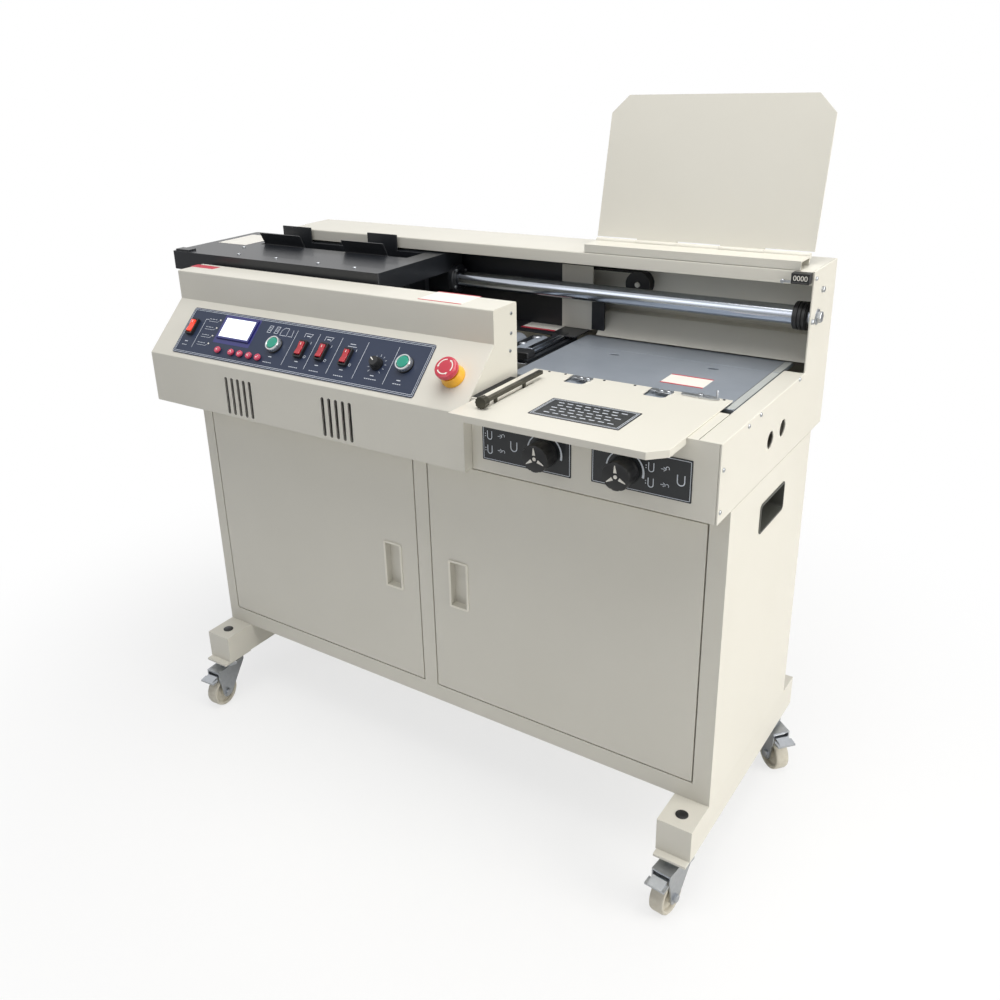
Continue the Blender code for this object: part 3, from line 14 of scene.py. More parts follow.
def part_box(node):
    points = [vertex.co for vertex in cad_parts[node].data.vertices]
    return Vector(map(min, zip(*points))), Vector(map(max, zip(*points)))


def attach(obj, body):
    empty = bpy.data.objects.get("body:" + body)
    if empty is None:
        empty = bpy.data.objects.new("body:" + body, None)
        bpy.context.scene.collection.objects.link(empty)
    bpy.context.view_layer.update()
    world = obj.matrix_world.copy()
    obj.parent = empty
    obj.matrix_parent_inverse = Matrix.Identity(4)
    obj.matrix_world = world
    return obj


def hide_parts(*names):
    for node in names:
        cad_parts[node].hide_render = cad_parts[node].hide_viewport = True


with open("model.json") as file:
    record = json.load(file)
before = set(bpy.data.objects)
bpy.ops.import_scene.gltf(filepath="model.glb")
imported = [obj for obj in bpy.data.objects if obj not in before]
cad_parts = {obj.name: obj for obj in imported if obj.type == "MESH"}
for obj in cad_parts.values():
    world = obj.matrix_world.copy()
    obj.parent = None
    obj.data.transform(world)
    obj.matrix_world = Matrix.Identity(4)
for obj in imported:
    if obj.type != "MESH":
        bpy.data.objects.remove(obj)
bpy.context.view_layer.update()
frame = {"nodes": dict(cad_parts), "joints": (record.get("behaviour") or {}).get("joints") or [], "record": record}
nodes = frame["nodes"]

millimetre = 0.001
shell_low, shell_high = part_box("cabinet_shell")
origin = Vector(((shell_low[0] + shell_high[0]) / 2, shell_low[1], 0))
east, north, sky = Vector((1, 0, 0)), Vector((0, 1, 0)), Vector((0, 0, 1))
along_x, along_y, along_z = 0, 1, 2
low_end, high_end = 0, 1


def spot(x, y, z):
    """A place in machine millimetres, in metres of the frame."""
    return origin + Vector((x, y, z)) * millimetre


def face(node, axis, end):
    """Where the box of a CAD node ends along an axis, in machine millimetres."""
    return (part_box(node)[end][axis] - origin[axis]) / millimetre


def centre(node, axis):
    """The middle of a CAD node's box along an axis, in machine millimetres."""
    return (face(node, axis, low_end) + face(node, axis, high_end)) / 2


def facing(foot, across, up):
    """Millimetre axes on a face: x along across, y along up, height out of the face."""
    turn = Matrix((across, up, across.cross(up))).transposed().to_4x4()
    return Matrix.Translation(foot) @ turn @ Matrix.Scale(millimetre, 4)


def front(y):
    """A face that looks to the front, with x to the right and y up."""
    return facing(spot(0, y, 0), east, sky)


def right(x):
    """A face that looks to the right, with x to the rear and y up."""
    return facing(spot(x, 0, 0), north, sky)


def left(x):
    """A face that looks to the left, with x to the front and y up."""
    return facing(spot(x, 0, 0), -north, sky)


def top(z):
    """A face that looks up, with x to the right and y to the rear."""
    return facing(spot(0, 0, z), east, north)


def back(y):
    """A face that looks to the rear, with x to the left and y up."""
    return facing(spot(0, y, 0), -east, sky)


# The control box's slope: heights on it are measured from its lower edge
box_front = face("control_box", along_y, low_end)
slope_foot = 798
slope_rise, slope_run = 89, 93
slope_angle = math.atan2(slope_rise, slope_run)
slope_up = Vector((0, math.cos(slope_angle), math.sin(slope_angle)))
slope = facing(spot(0, box_front, slope_foot), east, slope_up)

# Faces that carry scene pieces
cabinet_side = face("cabinet_shell", along_x, high_end)
cabinet_back = face("cabinet_shell", along_y, high_end)
housing_back = face("rear_housing", along_y, high_end)
box_left = face("control_box", along_x, low_end)
box_right = face("control_box", along_x, high_end)
box_top = face("control_box", along_z, high_end)
knob_panel_front = face("knob_panel", along_y, low_end)
feed_top = face("feed_table", along_z, high_end)
table_top = face("front_nip_plate", along_z, high_end)
beam_top = face("base_beam_left", along_z, high_end)


def linear(code):
    """A linear colour from an sRGB hex value."""
    shares = [int(code[start:start + 2], 16) / 255 for start in (1, 3, 5)]
    return (*(s / 12.92 if s <= 0.04045 else ((s + 0.055) / 1.055) ** 2.4 for s in shares), 1)


def add(tree, kind, values=None, links=None, **settings):
    """A node with its settings, its input values and its incoming links."""
    made = tree.nodes.new(kind)
    for name, value in settings.items():
        setattr(made, name, value)
    for name, value in (values or {}).items():
        made.inputs[name].default_value = value
    for name, source in (links or {}).items():
        tree.links.new(source, made.inputs[name])
    return made


def surface(
    name, colour, shade, roughness, spread, grain, depth, stretch=(1, 1, 1), metallic=0, coat=0, patch=70,
    glow=0,
):
    """A finish: two close colours in soft patches, and a grain whose size and depth are in millimetres."""
    made = bpy.data.materials.new(name)
    made.use_nodes = True
    tree = made.node_tree
    shader = tree.nodes["Principled BSDF"]
    shader.inputs["Metallic"].default_value = metallic
    shader.inputs["Coat Weight"].default_value = coat
    place = add(tree, "ShaderNodeTexCoord").outputs["Object"]
    patches = {"Scale": 1 / (patch * millimetre), "Detail": 3}
    drift = add(tree, "ShaderNodeTexNoise", patches, {"Vector": place})
    tint = add(
        tree, "ShaderNodeMix", {"A": linear(colour), "B": linear(shade)}, {"Factor": drift.outputs["Fac"]},
        data_type="RGBA",
    )
    tree.links.new(tint.outputs["Result"], shader.inputs["Base Color"])
    run = add(tree, "ShaderNodeMapping", {"Scale": stretch}, {"Vector": place})
    grains = {"Scale": 1 / (grain * millimetre), "Detail": 2}
    noise = add(tree, "ShaderNodeTexNoise", grains, {"Vector": run.outputs["Vector"]})
    gloss = add(
        tree, "ShaderNodeMapRange", {"To Min": roughness - spread, "To Max": roughness + spread},
        {"Value": noise.outputs["Fac"]},
    )
    tree.links.new(gloss.outputs["Result"], shader.inputs["Roughness"])
    heights = {"Strength": 1, "Distance": depth * millimetre}
    relief = add(tree, "ShaderNodeBump", heights, {"Height": noise.outputs["Fac"]})
    tree.links.new(relief.outputs["Normal"], shader.inputs["Normal"])
    if glow:
        shader.inputs["Emission Color"].default_value = linear(colour)
        shader.inputs["Emission Strength"].default_value = glow
    return made


# Powder coat on sheet steel: warm ivory, satin, with the fine orange peel of a baked coat
powder_coat = surface("ivory_powder_coat", "#DDDAD0", "#D8D5CA", 0.45, 0.04, 1.1, 0.010, coat=0.08, patch=160)
# Nylon caster wheels: dull off-white with scuffs
nylon = surface("cast_nylon", "#D8D4C8", "#BDB6A6", 0.55, 0.10, 3.0, 0.04, patch=9)
# Zinc plate on pressed steel: pale grey with a fine crystal grain
zinc_plate = surface("zinc_plated_steel", "#B9BCC0", "#9FA3A8", 0.33, 0.10, 1.6, 0.010, metallic=1, patch=7)
# Ground steel table: blue-grey, with grinding lines across the machine
ground_steel = surface(
    "ground_steel", "#AEB5BF", "#949CA7", 0.38, 0.08, 0.5, 0.002, stretch=(0.02, 1, 1), metallic=0.45,
    patch=90,
)
# Bevelled edge of the steel table: ground afterwards, and paler than its face partly from the grinding and partly
# as a painted highlight on the chamfer
steel_edge_and_highlight = surface(
    "ground_steel_edge", "#C6CAC8", "#AEB2B0", 0.42, 0.08, 0.5, 0.002, metallic=0.1, patch=30,
)
# Milled aluminium: paler, with cutter lines
milled_aluminium = surface(
    "milled_aluminium", "#C3C5C8", "#B2B5B9", 0.32, 0.08, 0.6, 0.003, stretch=(1, 0.05, 1), metallic=1,
    patch=40,
)
# Hard chrome on the guide shaft: mirror-bright, with the faint rings of its grinding
hard_chrome = surface(
    "hard_chrome", "#B4B9C1", "#A9AFB8", 0.18, 0.04, 0.8, 0.0006, stretch=(1, 0.04, 0.04), metallic=1,
    patch=120,
)
# Printed polyester film of the control panel: deep navy under a clear satin face
panel_film = surface("navy_panel_film", "#1E2B45", "#19253C", 0.48, 0.03, 0.35, 0.0015, patch=120)
# Screen-printed ink: soft white, slightly raised
white_ink = surface("white_screen_ink", "#DDE2EA", "#CDD4DE", 0.5, 0.04, 0.4, 0.002, patch=12)
# Semi-matt black paint on the cast clamp
black_paint = surface("black_enamel", "#1A1D22", "#15171B", 0.36, 0.06, 1.3, 0.010, coat=0.1, patch=80)
# ABS knobs and bezels, spark-eroded texture
black_abs = surface("black_abs", "#17181A", "#101113", 0.42, 0.06, 0.35, 0.006, patch=20)
# Polyester film of the legend plates: black with a satin face
black_film = surface("black_legend_film", "#1E2226", "#171A1D", 0.38, 0.03, 0.4, 0.002, coat=0.15, patch=60)
# Chemically blacked steel of the side gauge: near black, oily sheen
blacked_steel = surface(
    "blacked_steel", "#57554B", "#2E2D27", 0.32, 0.08, 0.7, 0.004, stretch=(1, 0.1, 1), metallic=0.7, patch=14
)
# Motor enamel: mid grey
grey_enamel = surface("grey_enamel", "#7D8388", "#70767B", 0.45, 0.05, 1.5, 0.012, patch=60)
# Timing belt: dull black rubber with its fabric back
belt_rubber = surface(
    "belt_rubber", "#1B1B1B", "#131313", 0.75, 0.08, 0.8, 0.02, stretch=(1, 0.2, 1), patch=15,
)
# Moulded acrylic, silicone and ABS controls: smooth and saturated, the power switch lit from within
green_acrylic = surface("green_acrylic", "#0E9C82", "#0B8E76", 0.25, 0.03, 0.5, 0.001, coat=0.4, patch=15)
red_acrylic = surface("red_acrylic", "#C42032", "#A61626", 0.22, 0.04, 0.5, 0.001, coat=0.5, patch=8)
lit_red_acrylic = surface(
    "lit_red_acrylic", "#E8401E", "#D81E18", 0.25, 0.04, 0.5, 0.001, coat=0.5, patch=12, glow=0.55
)
rose_silicone = surface("rose_silicone", "#D2506A", "#C4445E", 0.45, 0.04, 0.4, 0.003, patch=8)
red_abs = surface("red_abs", "#C9364A", "#BE2C40", 0.30, 0.04, 0.4, 0.002, coat=0.3, patch=15)
yellow_abs = surface("yellow_abs", "#EFB32A", "#E2A31E", 0.35, 0.04, 0.4, 0.002, coat=0.2, patch=15)
# Bright trims: satin nickel rings of the push buttons
satin_nickel = surface("satin_nickel", "#D9DCDE", "#C8CCCF", 0.22, 0.05, 0.4, 0.001, metallic=0.9, patch=10)
# White moulded frames of the door pulls
white_abs = surface("white_abs", "#EEEBE0", "#E6E2D5", 0.38, 0.04, 0.4, 0.004, coat=0.1, patch=30)
# Dark grey moulded cups of the hand slots
grey_abs = surface("dark_grey_abs", "#4A4B45", "#3F403B", 0.55, 0.05, 0.5, 0.008, patch=30)
# Vinyl labels: bare white film and its red edges
label_white = surface("white_label_film", "#F2EFE8", "#EAE6DD", 0.42, 0.04, 0.5, 0.002, patch=25)
label_red = surface("red_label_film", "#C8384A", "#BC3042", 0.42, 0.04, 0.5, 0.002, patch=25)
# Display: its indigo surround, and the lit screen behind clear plastic
indigo_film = surface("indigo_film", "#2B2C77", "#25266A", 0.30, 0.03, 0.4, 0.001, coat=0.3, patch=40)
lit_screen = surface("lit_screen", "#EDF3FF", "#E4ECFF", 0.15, 0.02, 0.4, 0.0005, patch=30, glow=0.75)

# The frame's material slots: the slot that each finish stands for, and the finish of each CAD node
slot_finishes = {
    "cream": powder_coat, "off_white": nylon, "zinc": zinc_plate, "steel": ground_steel,
    "aluminium": milled_aluminium, "chrome": hard_chrome, "navy": panel_film, "black_paint": black_paint,
    "black_plastic": black_abs, "grey_paint": grey_enamel, "rubber": belt_rubber, "green": green_acrylic,
    "red": red_acrylic, "yellow": yellow_abs,
}
own_finishes = {
    "side_gauge": blacked_steel, "lcd_display": indigo_film, "power_switch": lit_red_acrylic,
    "estop_button": red_abs, **{f"key_{number}": rose_silicone for number in range(1, 6)},
}
for entry in frame["record"]["subparts"]:
    name = entry["node"]
    nodes[name].material_slots[0].material = own_finishes.get(name, slot_finishes[entry["material_slot"]])

# Folded and machined edges: their radii in millimetres
edge_radii = {
    "cabinet_shell": 0.9, "door_left": 0.8, "door_right": 0.8, "base_beam_left": 2.0,
    "base_beam_right": 2.0, "head_frame": 0.6, "side_plate_right": 0.9, "knob_panel": 0.7,
    "control_box": 0.6, "rear_housing": 0.6, "feed_table": 0.6, "cover_board": 0.8, "board_base": 0.5,
    "front_nip_plate": 0.5, "rear_nip_plate": 0.5, "carriage_frame": 1.2, "rear_jaw": 0.8, "front_jaw": 0.8,
    "belt_guard": 0.5, "lcd_display": 0.5, "counter": 0.6, "glue_tank": 0.8, "power_switch": 0.7,
    "rocker_1": 0.7, "rocker_2": 0.7, "rocker_3": 0.7, "side_gauge": 0.5,
}


def soften(node, radius):
    """A small radius on the sharp edges of a CAD node."""
    seam_reach, sharp_angle = 0.01, 40
    weld = node.modifiers.new("weld", "WELD")
    weld.merge_threshold = seam_reach * millimetre
    bevel = node.modifiers.new("edges", "BEVEL")
    bevel.width = radius * millimetre
    bevel.segments = 2
    bevel.angle_limit = math.radians(sharp_angle)
    bevel.use_clamp_overlap = True
    shading = node.modifiers.new("shading", "WEIGHTED_NORMAL")
    shading.keep_sharp = False


for name, radius in edge_radii.items():
    soften(nodes[name], radius)


def polar(x, y, radius, angle):
    """A point at a radius and an angle in radians."""
    return (x + radius * math.cos(angle), y + radius * math.sin(angle))


def circle(x, y, radius, steps=32):
    """Points on a circle."""
    return [polar(x, y, radius, math.tau * step / steps) for step in range(steps)]


def arc(x, y, radius, start, end, steps=16):
    """Points on an arc, with its angles in degrees."""
    angles = [math.radians(start + (end - start) * step / steps) for step in range(steps + 1)]
    return [polar(x, y, radius, angle) for angle in angles]


def rounded(x, y, width, height, radius, steps=5):
    """A rectangle round its middle, with round corners."""
    across, up = width / 2 - radius, height / 2 - radius
    corners = ((across, up, 0), (-across, up, 90), (-across, -up, 180), (across, -up, 270))
    return [point for a, b, turn in corners for point in arc(x + a, y + b, radius, turn, turn + 90, steps)]


def loft(rings, closed=False):
    """A solid skinned through rings of points, each an outline with its height."""
    shape = bmesh.new()
    loops = [[shape.verts.new((x, y, height)) for x, y in points] for points, height in rings]
    pairs = list(zip(loops, loops[1:] + loops[:1])) if closed else list(zip(loops, loops[1:]))
    for low, high in pairs:
        for number in range(len(low)):
            after = (number + 1) % len(low)
            shape.faces.new((low[number], low[after], high[after], high[number]))
    if not closed:
        shape.faces.new(reversed(loops[0]))
        shape.faces.new(loops[-1])
    bmesh.ops.recalc_face_normals(shape, faces=shape.faces)
    return shape


def turned(x, y, profile, steps=40, closed=False):
    """A turned solid from (radius, height) pairs."""
    return loft([(circle(x, y, radius, steps), height) for radius, height in profile], closed)


def slab(points, low, high):
    """An outline raised from one height to another."""
    return loft([(points, low), (points, high)])


def box(x_low, y_low, x_high, y_high, low, high):
    """A plain block."""
    return slab([(x_low, y_low), (x_high, y_low), (x_high, y_high), (x_low, y_high)], low, high)


def pad(x, y, width, height, radius, low, high, edge=0.4):
    """A plate with round corners and a rounded upper edge."""
    inner = rounded(x, y, width - 2 * edge, height - 2 * edge, max(radius - edge, 0.05))
    outer = rounded(x, y, width, height, radius)
    return loft([(outer, low), (outer, high - edge), (inner, high)])


def rim(x, y, width, height, radius, band, low, high, edge=0.3):
    """A frame of a rounded rectangle, with a given band width."""
    outer = rounded(x, y, width, height, radius)
    outer_top = rounded(x, y, width - 2 * edge, height - 2 * edge, max(radius - edge, 0.1))
    inner = rounded(x, y, width - 2 * band, height - 2 * band, max(radius - band, 0.1))
    lip = band - edge
    inner_top = rounded(x, y, width - 2 * lip, height - 2 * lip, max(radius - lip, 0.1))
    outside = [(outer, low), (outer, high - edge), (outer_top, high)]
    inside = [(inner_top, high), (inner, high - edge), (inner, low)]
    return loft(outside + inside, closed=True)


def stroke(points, width, low, high, closed=False):
    """A printed line of even width along points."""
    vectors = [Vector(point) for point in points]
    count = len(vectors)
    left_side, right_side = [], []
    for number, here in enumerate(vectors):
        before = vectors[number - 1] if closed or number else None
        after = vectors[(number + 1) % count] if closed or number < count - 1 else None
        ahead = (after - here).normalized() if after is not None else (here - before).normalized()
        behind = (here - before).normalized() if before is not None else ahead
        normal = Vector((-(ahead + behind).y, (ahead + behind).x)).normalized()
        reach = width / 2 / max(normal.dot(Vector((-ahead.y, ahead.x))), 0.3)
        left_side.append(tuple(here + normal * reach))
        right_side.append(tuple(here - normal * reach))
    if closed:
        return loft([(left_side, low), (left_side, high), (right_side, high), (right_side, low)], closed=True)
    return slab(left_side + right_side[::-1], low, high)


# Pan heads: heights and widths as shares of the head's radius
head_side_share, head_height_share, head_crown_share = 0.35, 0.6, 0.75
recess_reach_share, recess_width_share = 0.5, 0.2


def pan_head(x, y, radius, base):
    """The head of a pan screw."""
    shoulder, crown = base + radius * head_side_share, base + radius * head_height_share
    return turned(x, y, [(radius, base), (radius, shoulder), (radius * head_crown_share, crown)], 24)


def cross(x, y, radius, base):
    """The dark cross recess of a pan head."""
    reach, side = radius * recess_reach_share, radius * recess_width_share / 2
    high = base + radius * head_height_share
    return [
        box(x - reach, y - side, x + reach, y + side, high - 0.1, high + 0.06),
        box(x - side, y - reach, x + side, y + reach, high - 0.1, high + 0.05),
    ]


def hexagon(x, y, across, low, high, edge=0.6):
    """A chamfered hexagon head."""
    radius = across / math.sqrt(3)
    return turned(x, y, [(radius, low), (radius, high - edge), (radius - edge, high)], 6)


# Edges sharper than this, in degrees, stay sharp in the shading
smooth_limit = 35


def piece(name, place, shapes, finish, body="machine", node=None):
    """A scene piece on a body. Where node is given, it stands for that CAD node."""
    whole = bmesh.new()
    mesh = bpy.data.meshes.new(name)
    for shape in shapes:
        shape.to_mesh(mesh)
        whole.from_mesh(mesh)
        shape.free()
    whole.transform(place)
    whole.to_mesh(mesh)
    whole.free()
    mesh.shade_smooth()
    mesh.set_sharp_from_angle(angle=math.radians(smooth_limit))
    mesh.materials.append(finish)
    made = bpy.data.objects.new(name, mesh)
    bpy.context.collection.objects.link(made)
    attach(made, body)
    if node:
        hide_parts(node)


def screws(name, place, points, radius=4, base=0, body="machine"):
    """A group of pan heads with their dark recesses."""
    recesses = [shape for x, y in points for shape in cross(x, y, radius, base)]
    piece(name, place, [pan_head(x, y, radius, base) for x, y in points], zinc_plate, body)
    piece(f"{name}_recess", place, recesses, black_abs, body)


# Film labels: the small radius at their upper edge
label_edge = 0.05


def bare_label(name, place, x, y, width, depth, corner, high, body="machine"):
    """A label plate with nothing printed on it."""
    piece(name, place, [pad(x, y, width, depth, corner, 0, high, label_edge)], label_white, body)


def label_edges(name, place, x, y, width, offset, depth, corner, high):
    """The red edges above and below the middle of a label."""
    strips = [pad(x, y + side * offset, width, depth, corner, 0, high, label_edge) for side in (-1, 1)]
    piece(name, place, strips, label_red)


# Door pulls: a white moulded frame round each recess
pull_z, pull_width, pull_height = 433.2, 42, 97
for side, pull_x in (("left", -75.5), ("right", 73.5)):
    pull_frame = rim(pull_x, pull_z, pull_width, pull_height, 5, 4.2, 1.0, 2.3)
    piece(f"door_pull_frame_{side}", front(0), [pull_frame], white_abs, f"door_{side}")

# Hand slots: dark grey moulded cups in the sides
slot_y, slot_z, cup_depth = 191, 628, 27
for name, place, middle in (("right", right(cabinet_side), slot_y), ("left", left(-cabinet_side), -slot_y)):
    flange = rounded(middle, slot_z, 116, 52, 8)
    mouth = rounded(middle, slot_z, 108, 44, 5)
    floor_outline = rounded(middle, slot_z, 104, 40, 5)
    outside = rounded(middle, slot_z, 111, 47, 5.8)
    cup = loft([
        (outside, -cup_depth - 1.2), (outside, 0.2), (flange, 0.2), (flange, 1.0), (mouth, 1.4),
        (floor_outline, -cup_depth),
    ])
    piece(f"hand_cup_{name}", place, [cup], grey_abs)

# Control panel: the film's outline, the heights of its prints, and where each control stands on the slope
film_top, ink_low, ink_high = 1.2, 1.28, 1.36
panel_left, panel_right, panel_bottom, panel_top = -543, 46, 10, 112
controls = {
    "power_switch": (-520, 68), "start_button": (-293, 59), "rocker_1": (-228, 60), "rocker_2": (-179, 62),
    "rocker_3": (-122, 60), "speed_knob": (-53, 58), "cover_button": (4, 66), "estop_button": (103, 61),
}
lamp_x, lamp_top, lamp_pitch = -459, 92, 17.5
lamp_rows = [lamp_top - lamp_pitch * row for row in range(4)]


def ink(points, width, closed=False):
    """A white line printed on the control panel."""
    return stroke(points, width, ink_low, ink_high, closed)


# Frame lines and the dividers between the groups of controls
lines = []
for gap in (2.2, 5.0):
    x_low, x_high, s_low, s_high = panel_left + gap, panel_right - gap, panel_bottom + gap, panel_top - gap
    lines.append(ink([(x_low, s_low), (x_high, s_low), (x_high, s_high), (x_low, s_high)], 0.7, True))
for x in (-258, -203.5, -150.5, -91, -24):
    lines.append(ink([(x, 24), (x, 97)], 0.8))
lines.append(ink([(-490, 90), (-498, 90), (-498, 26)], 0.8))
piece("panel_lines", slope, lines, white_ink)

# Rows of plain ticks beside the status lamps
marks = []
for s in lamp_rows:
    for start, end in ((-489, -484), (-482, -475), (-473, -469)):
        marks.append(ink([(start, s), (end, s)], 0.9))
    marks.append(ink([(-489, s - 5), (-466, s - 5)], 0.6))
    marks.append(ink([(-466, s - 5), (-462, s - 2)], 0.6))

# Plain ticks and a bar under each control: how many ticks, and the heights of both
tick_length, tick_pitch, bar_reach = 3.2, 4.4, 4
captions = (
    ("power_switch", 3, 29, 37), ("start_button", 5, 24, 36), ("rocker_1", 5, 24, 36),
    ("rocker_2", 5, 24, 36), ("rocker_3", 5, 24, 36), ("speed_knob", 6, 29, 36),
    ("cover_button", 4, 29, 36),
)
for control, count, tick_s, bar_s in captions:
    x = controls[control][0]
    for number in range(count):
        start = x + (number - count / 2) * tick_pitch
        marks.append(ink([(start, tick_s), (start + tick_length, tick_s)], 1.3))
    marks.append(ink([(x - bar_reach, bar_s), (x + bar_reach, bar_s)], 1.6))

# Simple pictures over the start button: two sheets, a folded sheet and a corner
for x in (-330, -312):
    marks.append(ink([(x, 84), (x + 8, 84), (x + 10, 98), (x + 2, 98)], 0.9, True))
    for s in (88, 91, 94):
        marks.append(ink([(x + 2, s), (x + 8, s)], 0.7))
marks.append(ink([(-296, 82), (-280, 82), (-280, 98), (-290, 98), (-296, 92)], 0.8, True))
marks.append(ink([(-276, 82), (-266, 82), (-268, 96)], 0.8))

# Over the rockers: a clamped sheet; beside them: a bar and a ring for their two positions
rocker_columns = [controls[f"rocker_{number}"][0] for number in (1, 2, 3)]
for x in rocker_columns[:2]:
    marks.append(ink([(x - 9, 86), (x - 9, 94), (x + 9, 94), (x + 5, 86)], 0.8))
    marks.append(ink([(x - 4, 89), (x + 4, 89)], 1.6))
for x in rocker_columns:
    marks.append(ink([(x + 13, 74), (x + 13, 79)], 0.9))
    marks.append(ink(circle(x + 13, 48, 2.4, 16), 0.7, True))
marks.append(ink([(-128, 88), (-116, 88)], 1.2))
marks.append(ink([(-132, 83), (-112, 83)], 1.0))

# The speed knob's scale: eleven ticks, every fifth one longer
knob_middle = Vector(controls["speed_knob"])
scale_start, scale_step = 230, -28
for step in range(11):
    angle = math.radians(scale_start + scale_step * step)
    direction = Vector((math.cos(angle), math.sin(angle)))
    reach = 20 if step % 5 == 0 else 18.5
    marks.append(ink([tuple(knob_middle + direction * 15.5), tuple(knob_middle + direction * reach)], 0.8))
piece("panel_marks", slope, marks, white_ink)

# Status lamps beside the display
lens = [(1.8, film_top), (1.8, 1.8), (1.2, 2.5), (0.3, 2.7)]
piece("status_lamps", slope, [turned(lamp_x, s, lens, 16) for s in lamp_rows], label_white)

# Display: the indigo surround on the film, and the screen
display_x = -403
piece("display_surround", slope, [pad(display_x, 75.5, 96, 62, 1.5, film_top, 1.45, 0.1)], indigo_film)
piece("display_screen", slope, [pad(display_x, 78.5, 77.4, 40.4, 0.6, 3.7, 4.25, 0.15)], lit_screen)

# Pale symbols on the five keys: a plus, an arrow up, an arrow down, an arrow back and a tick
key_top, key_s = 7.6, 29
key_marks = (
    (-424, ([(-2, 0), (2, 0)], [(0, -2), (0, 2)])),
    (-388, ([(-2.5, -1.5), (0, 2.5), (2.5, -1.5)],)),
    (-365, ([(-2.5, 1.5), (0, -2.5), (2.5, 1.5)],)),
    (-341, ([(1.5, 2.5), (-2, 0), (1.5, -2.5)],)),
    (-318, ([(-2.4, 0), (-0.6, -2), (2.6, 2.2)],)),
)
for number, (key_x, paths) in enumerate(key_marks, 1):
    shapes = []
    for points in paths:
        path = [(key_x + x, key_s + s) for x, s in points]
        shapes.append(stroke(path, 1.1, key_top - 0.05, key_top + 0.06))
    piece(f"key_mark_{number}", slope, shapes, label_white, f"key_{number}")

# Push buttons: a dark body, a satin ring and a domed green cap
button_body = [(15.6, film_top), (15.6, 4.2), (15.0, 4.8), (12.0, 4.8), (12.0, film_top)]
button_ring = [(14.95, 4.7), (14.95, 12.2), (14.2, 13.4), (12.2, 13.4), (11.5, 12.6), (11.5, 4.7)]
button_cap = [
    (5.0, -16), (5.0, 5.6), (10.7, 5.6), (10.8, 13.2), (10.2, 14.1), (7.6, 14.45), (4.0, 14.6), (0.6, 14.65),
]
for name in ("start_button", "cover_button"):
    x, s = controls[name]
    piece(f"{name}_body", slope, [turned(x, s, button_body, 48, True)], black_abs)
    piece(f"{name}_ring", slope, [turned(x, s, button_ring, 48, True)], satin_nickel)
    piece(f"{name}_cap", slope, [turned(x, s, button_cap, 48)], green_acrylic, name, name)

# Rockers: their bezels, and the pale line moulded in each
for name in ("power_switch", "rocker_1", "rocker_2", "rocker_3"):
    x, s = controls[name]
    piece(f"{name}_bezel", slope, [rim(x, s, 17.6, 34.6, 1.6, 2.6, film_top, 8.5)], black_abs)
    piece(f"{name}_mark", slope, [stroke([(x, s + 6), (x, s + 10.5)], 1.0, 10.35, 11.5)], label_white, name)

# Speed knob: a skirt, a ribbed grip that narrows upwards, and a white index line
x, s = controls["speed_knob"]
skirt = [(3.0, -13), (3.0, 1.95), (12.0, 1.95), (12.0, 3.9), (11.1, 5.9), (10.4, 5.9)]
crown = [(10.2, 8.4), (9.6, 12.0), (8.6, 15.9)]
ribs, rib_radius, groove_depth = 28, 11.4, 0.5
ribbed = []
for number in range(2 * ribs):
    radius, angle = rib_radius - groove_depth * (number % 2), math.pi * number / ribs
    ribbed.append(polar(x, s, radius, angle))
grip = [turned(x, s, skirt, 48), slab(ribbed, 2.2, 8.5), turned(x, s, crown, 36)]
index_line = stroke([(x - 7.6, s + 5.2), (x - 0.6, s + 0.4)], 1.7, 15.8, 16.1)
piece("speed_knob_grip", slope, grip, black_abs, "speed_knob", "speed_knob")
piece("speed_knob_index", slope, [index_line], label_white, "speed_knob")

# Emergency stop: yellow collar, red mushroom cap and three pale arrows round it
x, s = controls["estop_button"]
stop_collar = [(11.6, 0.3), (21.0, 0.3), (21.2, 2.4), (20.4, 5.6), (17.4, 15.6), (16.4, 16.0), (11.6, 16.0)]
stop_cap = [
    (11.0, -20), (11.0, 20.3), (16.5, 20.3), (19.2, 21.4), (20.0, 23.4), (20.0, 28.6), (19.1, 30.9),
    (17.0, 31.7), (15.5, 31.9), (14.0, 31.6), (12.0, 32.0), (6.0, 32.25), (0.6, 32.3),
]
collar_ring, mushroom = turned(x, s, stop_collar, 56, True), turned(x, s, stop_cap, 56)
piece("estop_collar_body", slope, [collar_ring], yellow_abs, "machine", "estop_collar")
piece("estop_cap", slope, [mushroom], red_abs, "estop_button", "estop_button")
arrow_radius, arrow_half, arrow_turn, head_turn, arrow_low, arrow_high = 13.2, 2.2, 82, 98, 31.4, 32.15
arrow_head = (
    (arrow_radius - arrow_half, arrow_turn), (arrow_radius + arrow_half, arrow_turn),
    (arrow_radius, head_turn),
)
arrows = []
for start in (95, 215, 335):
    tail = arc(x, s, arrow_radius, start, start + arrow_turn, 12)
    head = [polar(x, s, radius, math.radians(start + turn)) for radius, turn in arrow_head]
    arrows += [stroke(tail, 1.9, arrow_low, arrow_high), slab(head, arrow_low, arrow_high)]
piece("estop_arcs", slope, arrows, label_white, "estop_button")

# Vents: black rims round the slots, painted shade that makes the slots look wider and darker inside
vent_pitch, vent_half, vent_z = 15.5, 2.4, 741.3
vent_shade_rims = [
    rim(box_left + group + vent_pitch * number + vent_half, vent_z, 6.6, 72, 3.2, 1.2, -0.2, 0.25, 0.1)
    for group in (206, 448) for number in range(5)
]
piece("vent_shade_rims", front(box_front), vent_shade_rims, black_abs)

# Dark strip on the flange between the control box and the feed table: painted shade, standing for the shadow in
# the gap
head_top = 820
piece("gap_shade_strip", top(head_top), [box(box_right + 0.6, -51, 164.4, 64, 0.02, 0.6)], belt_rubber)

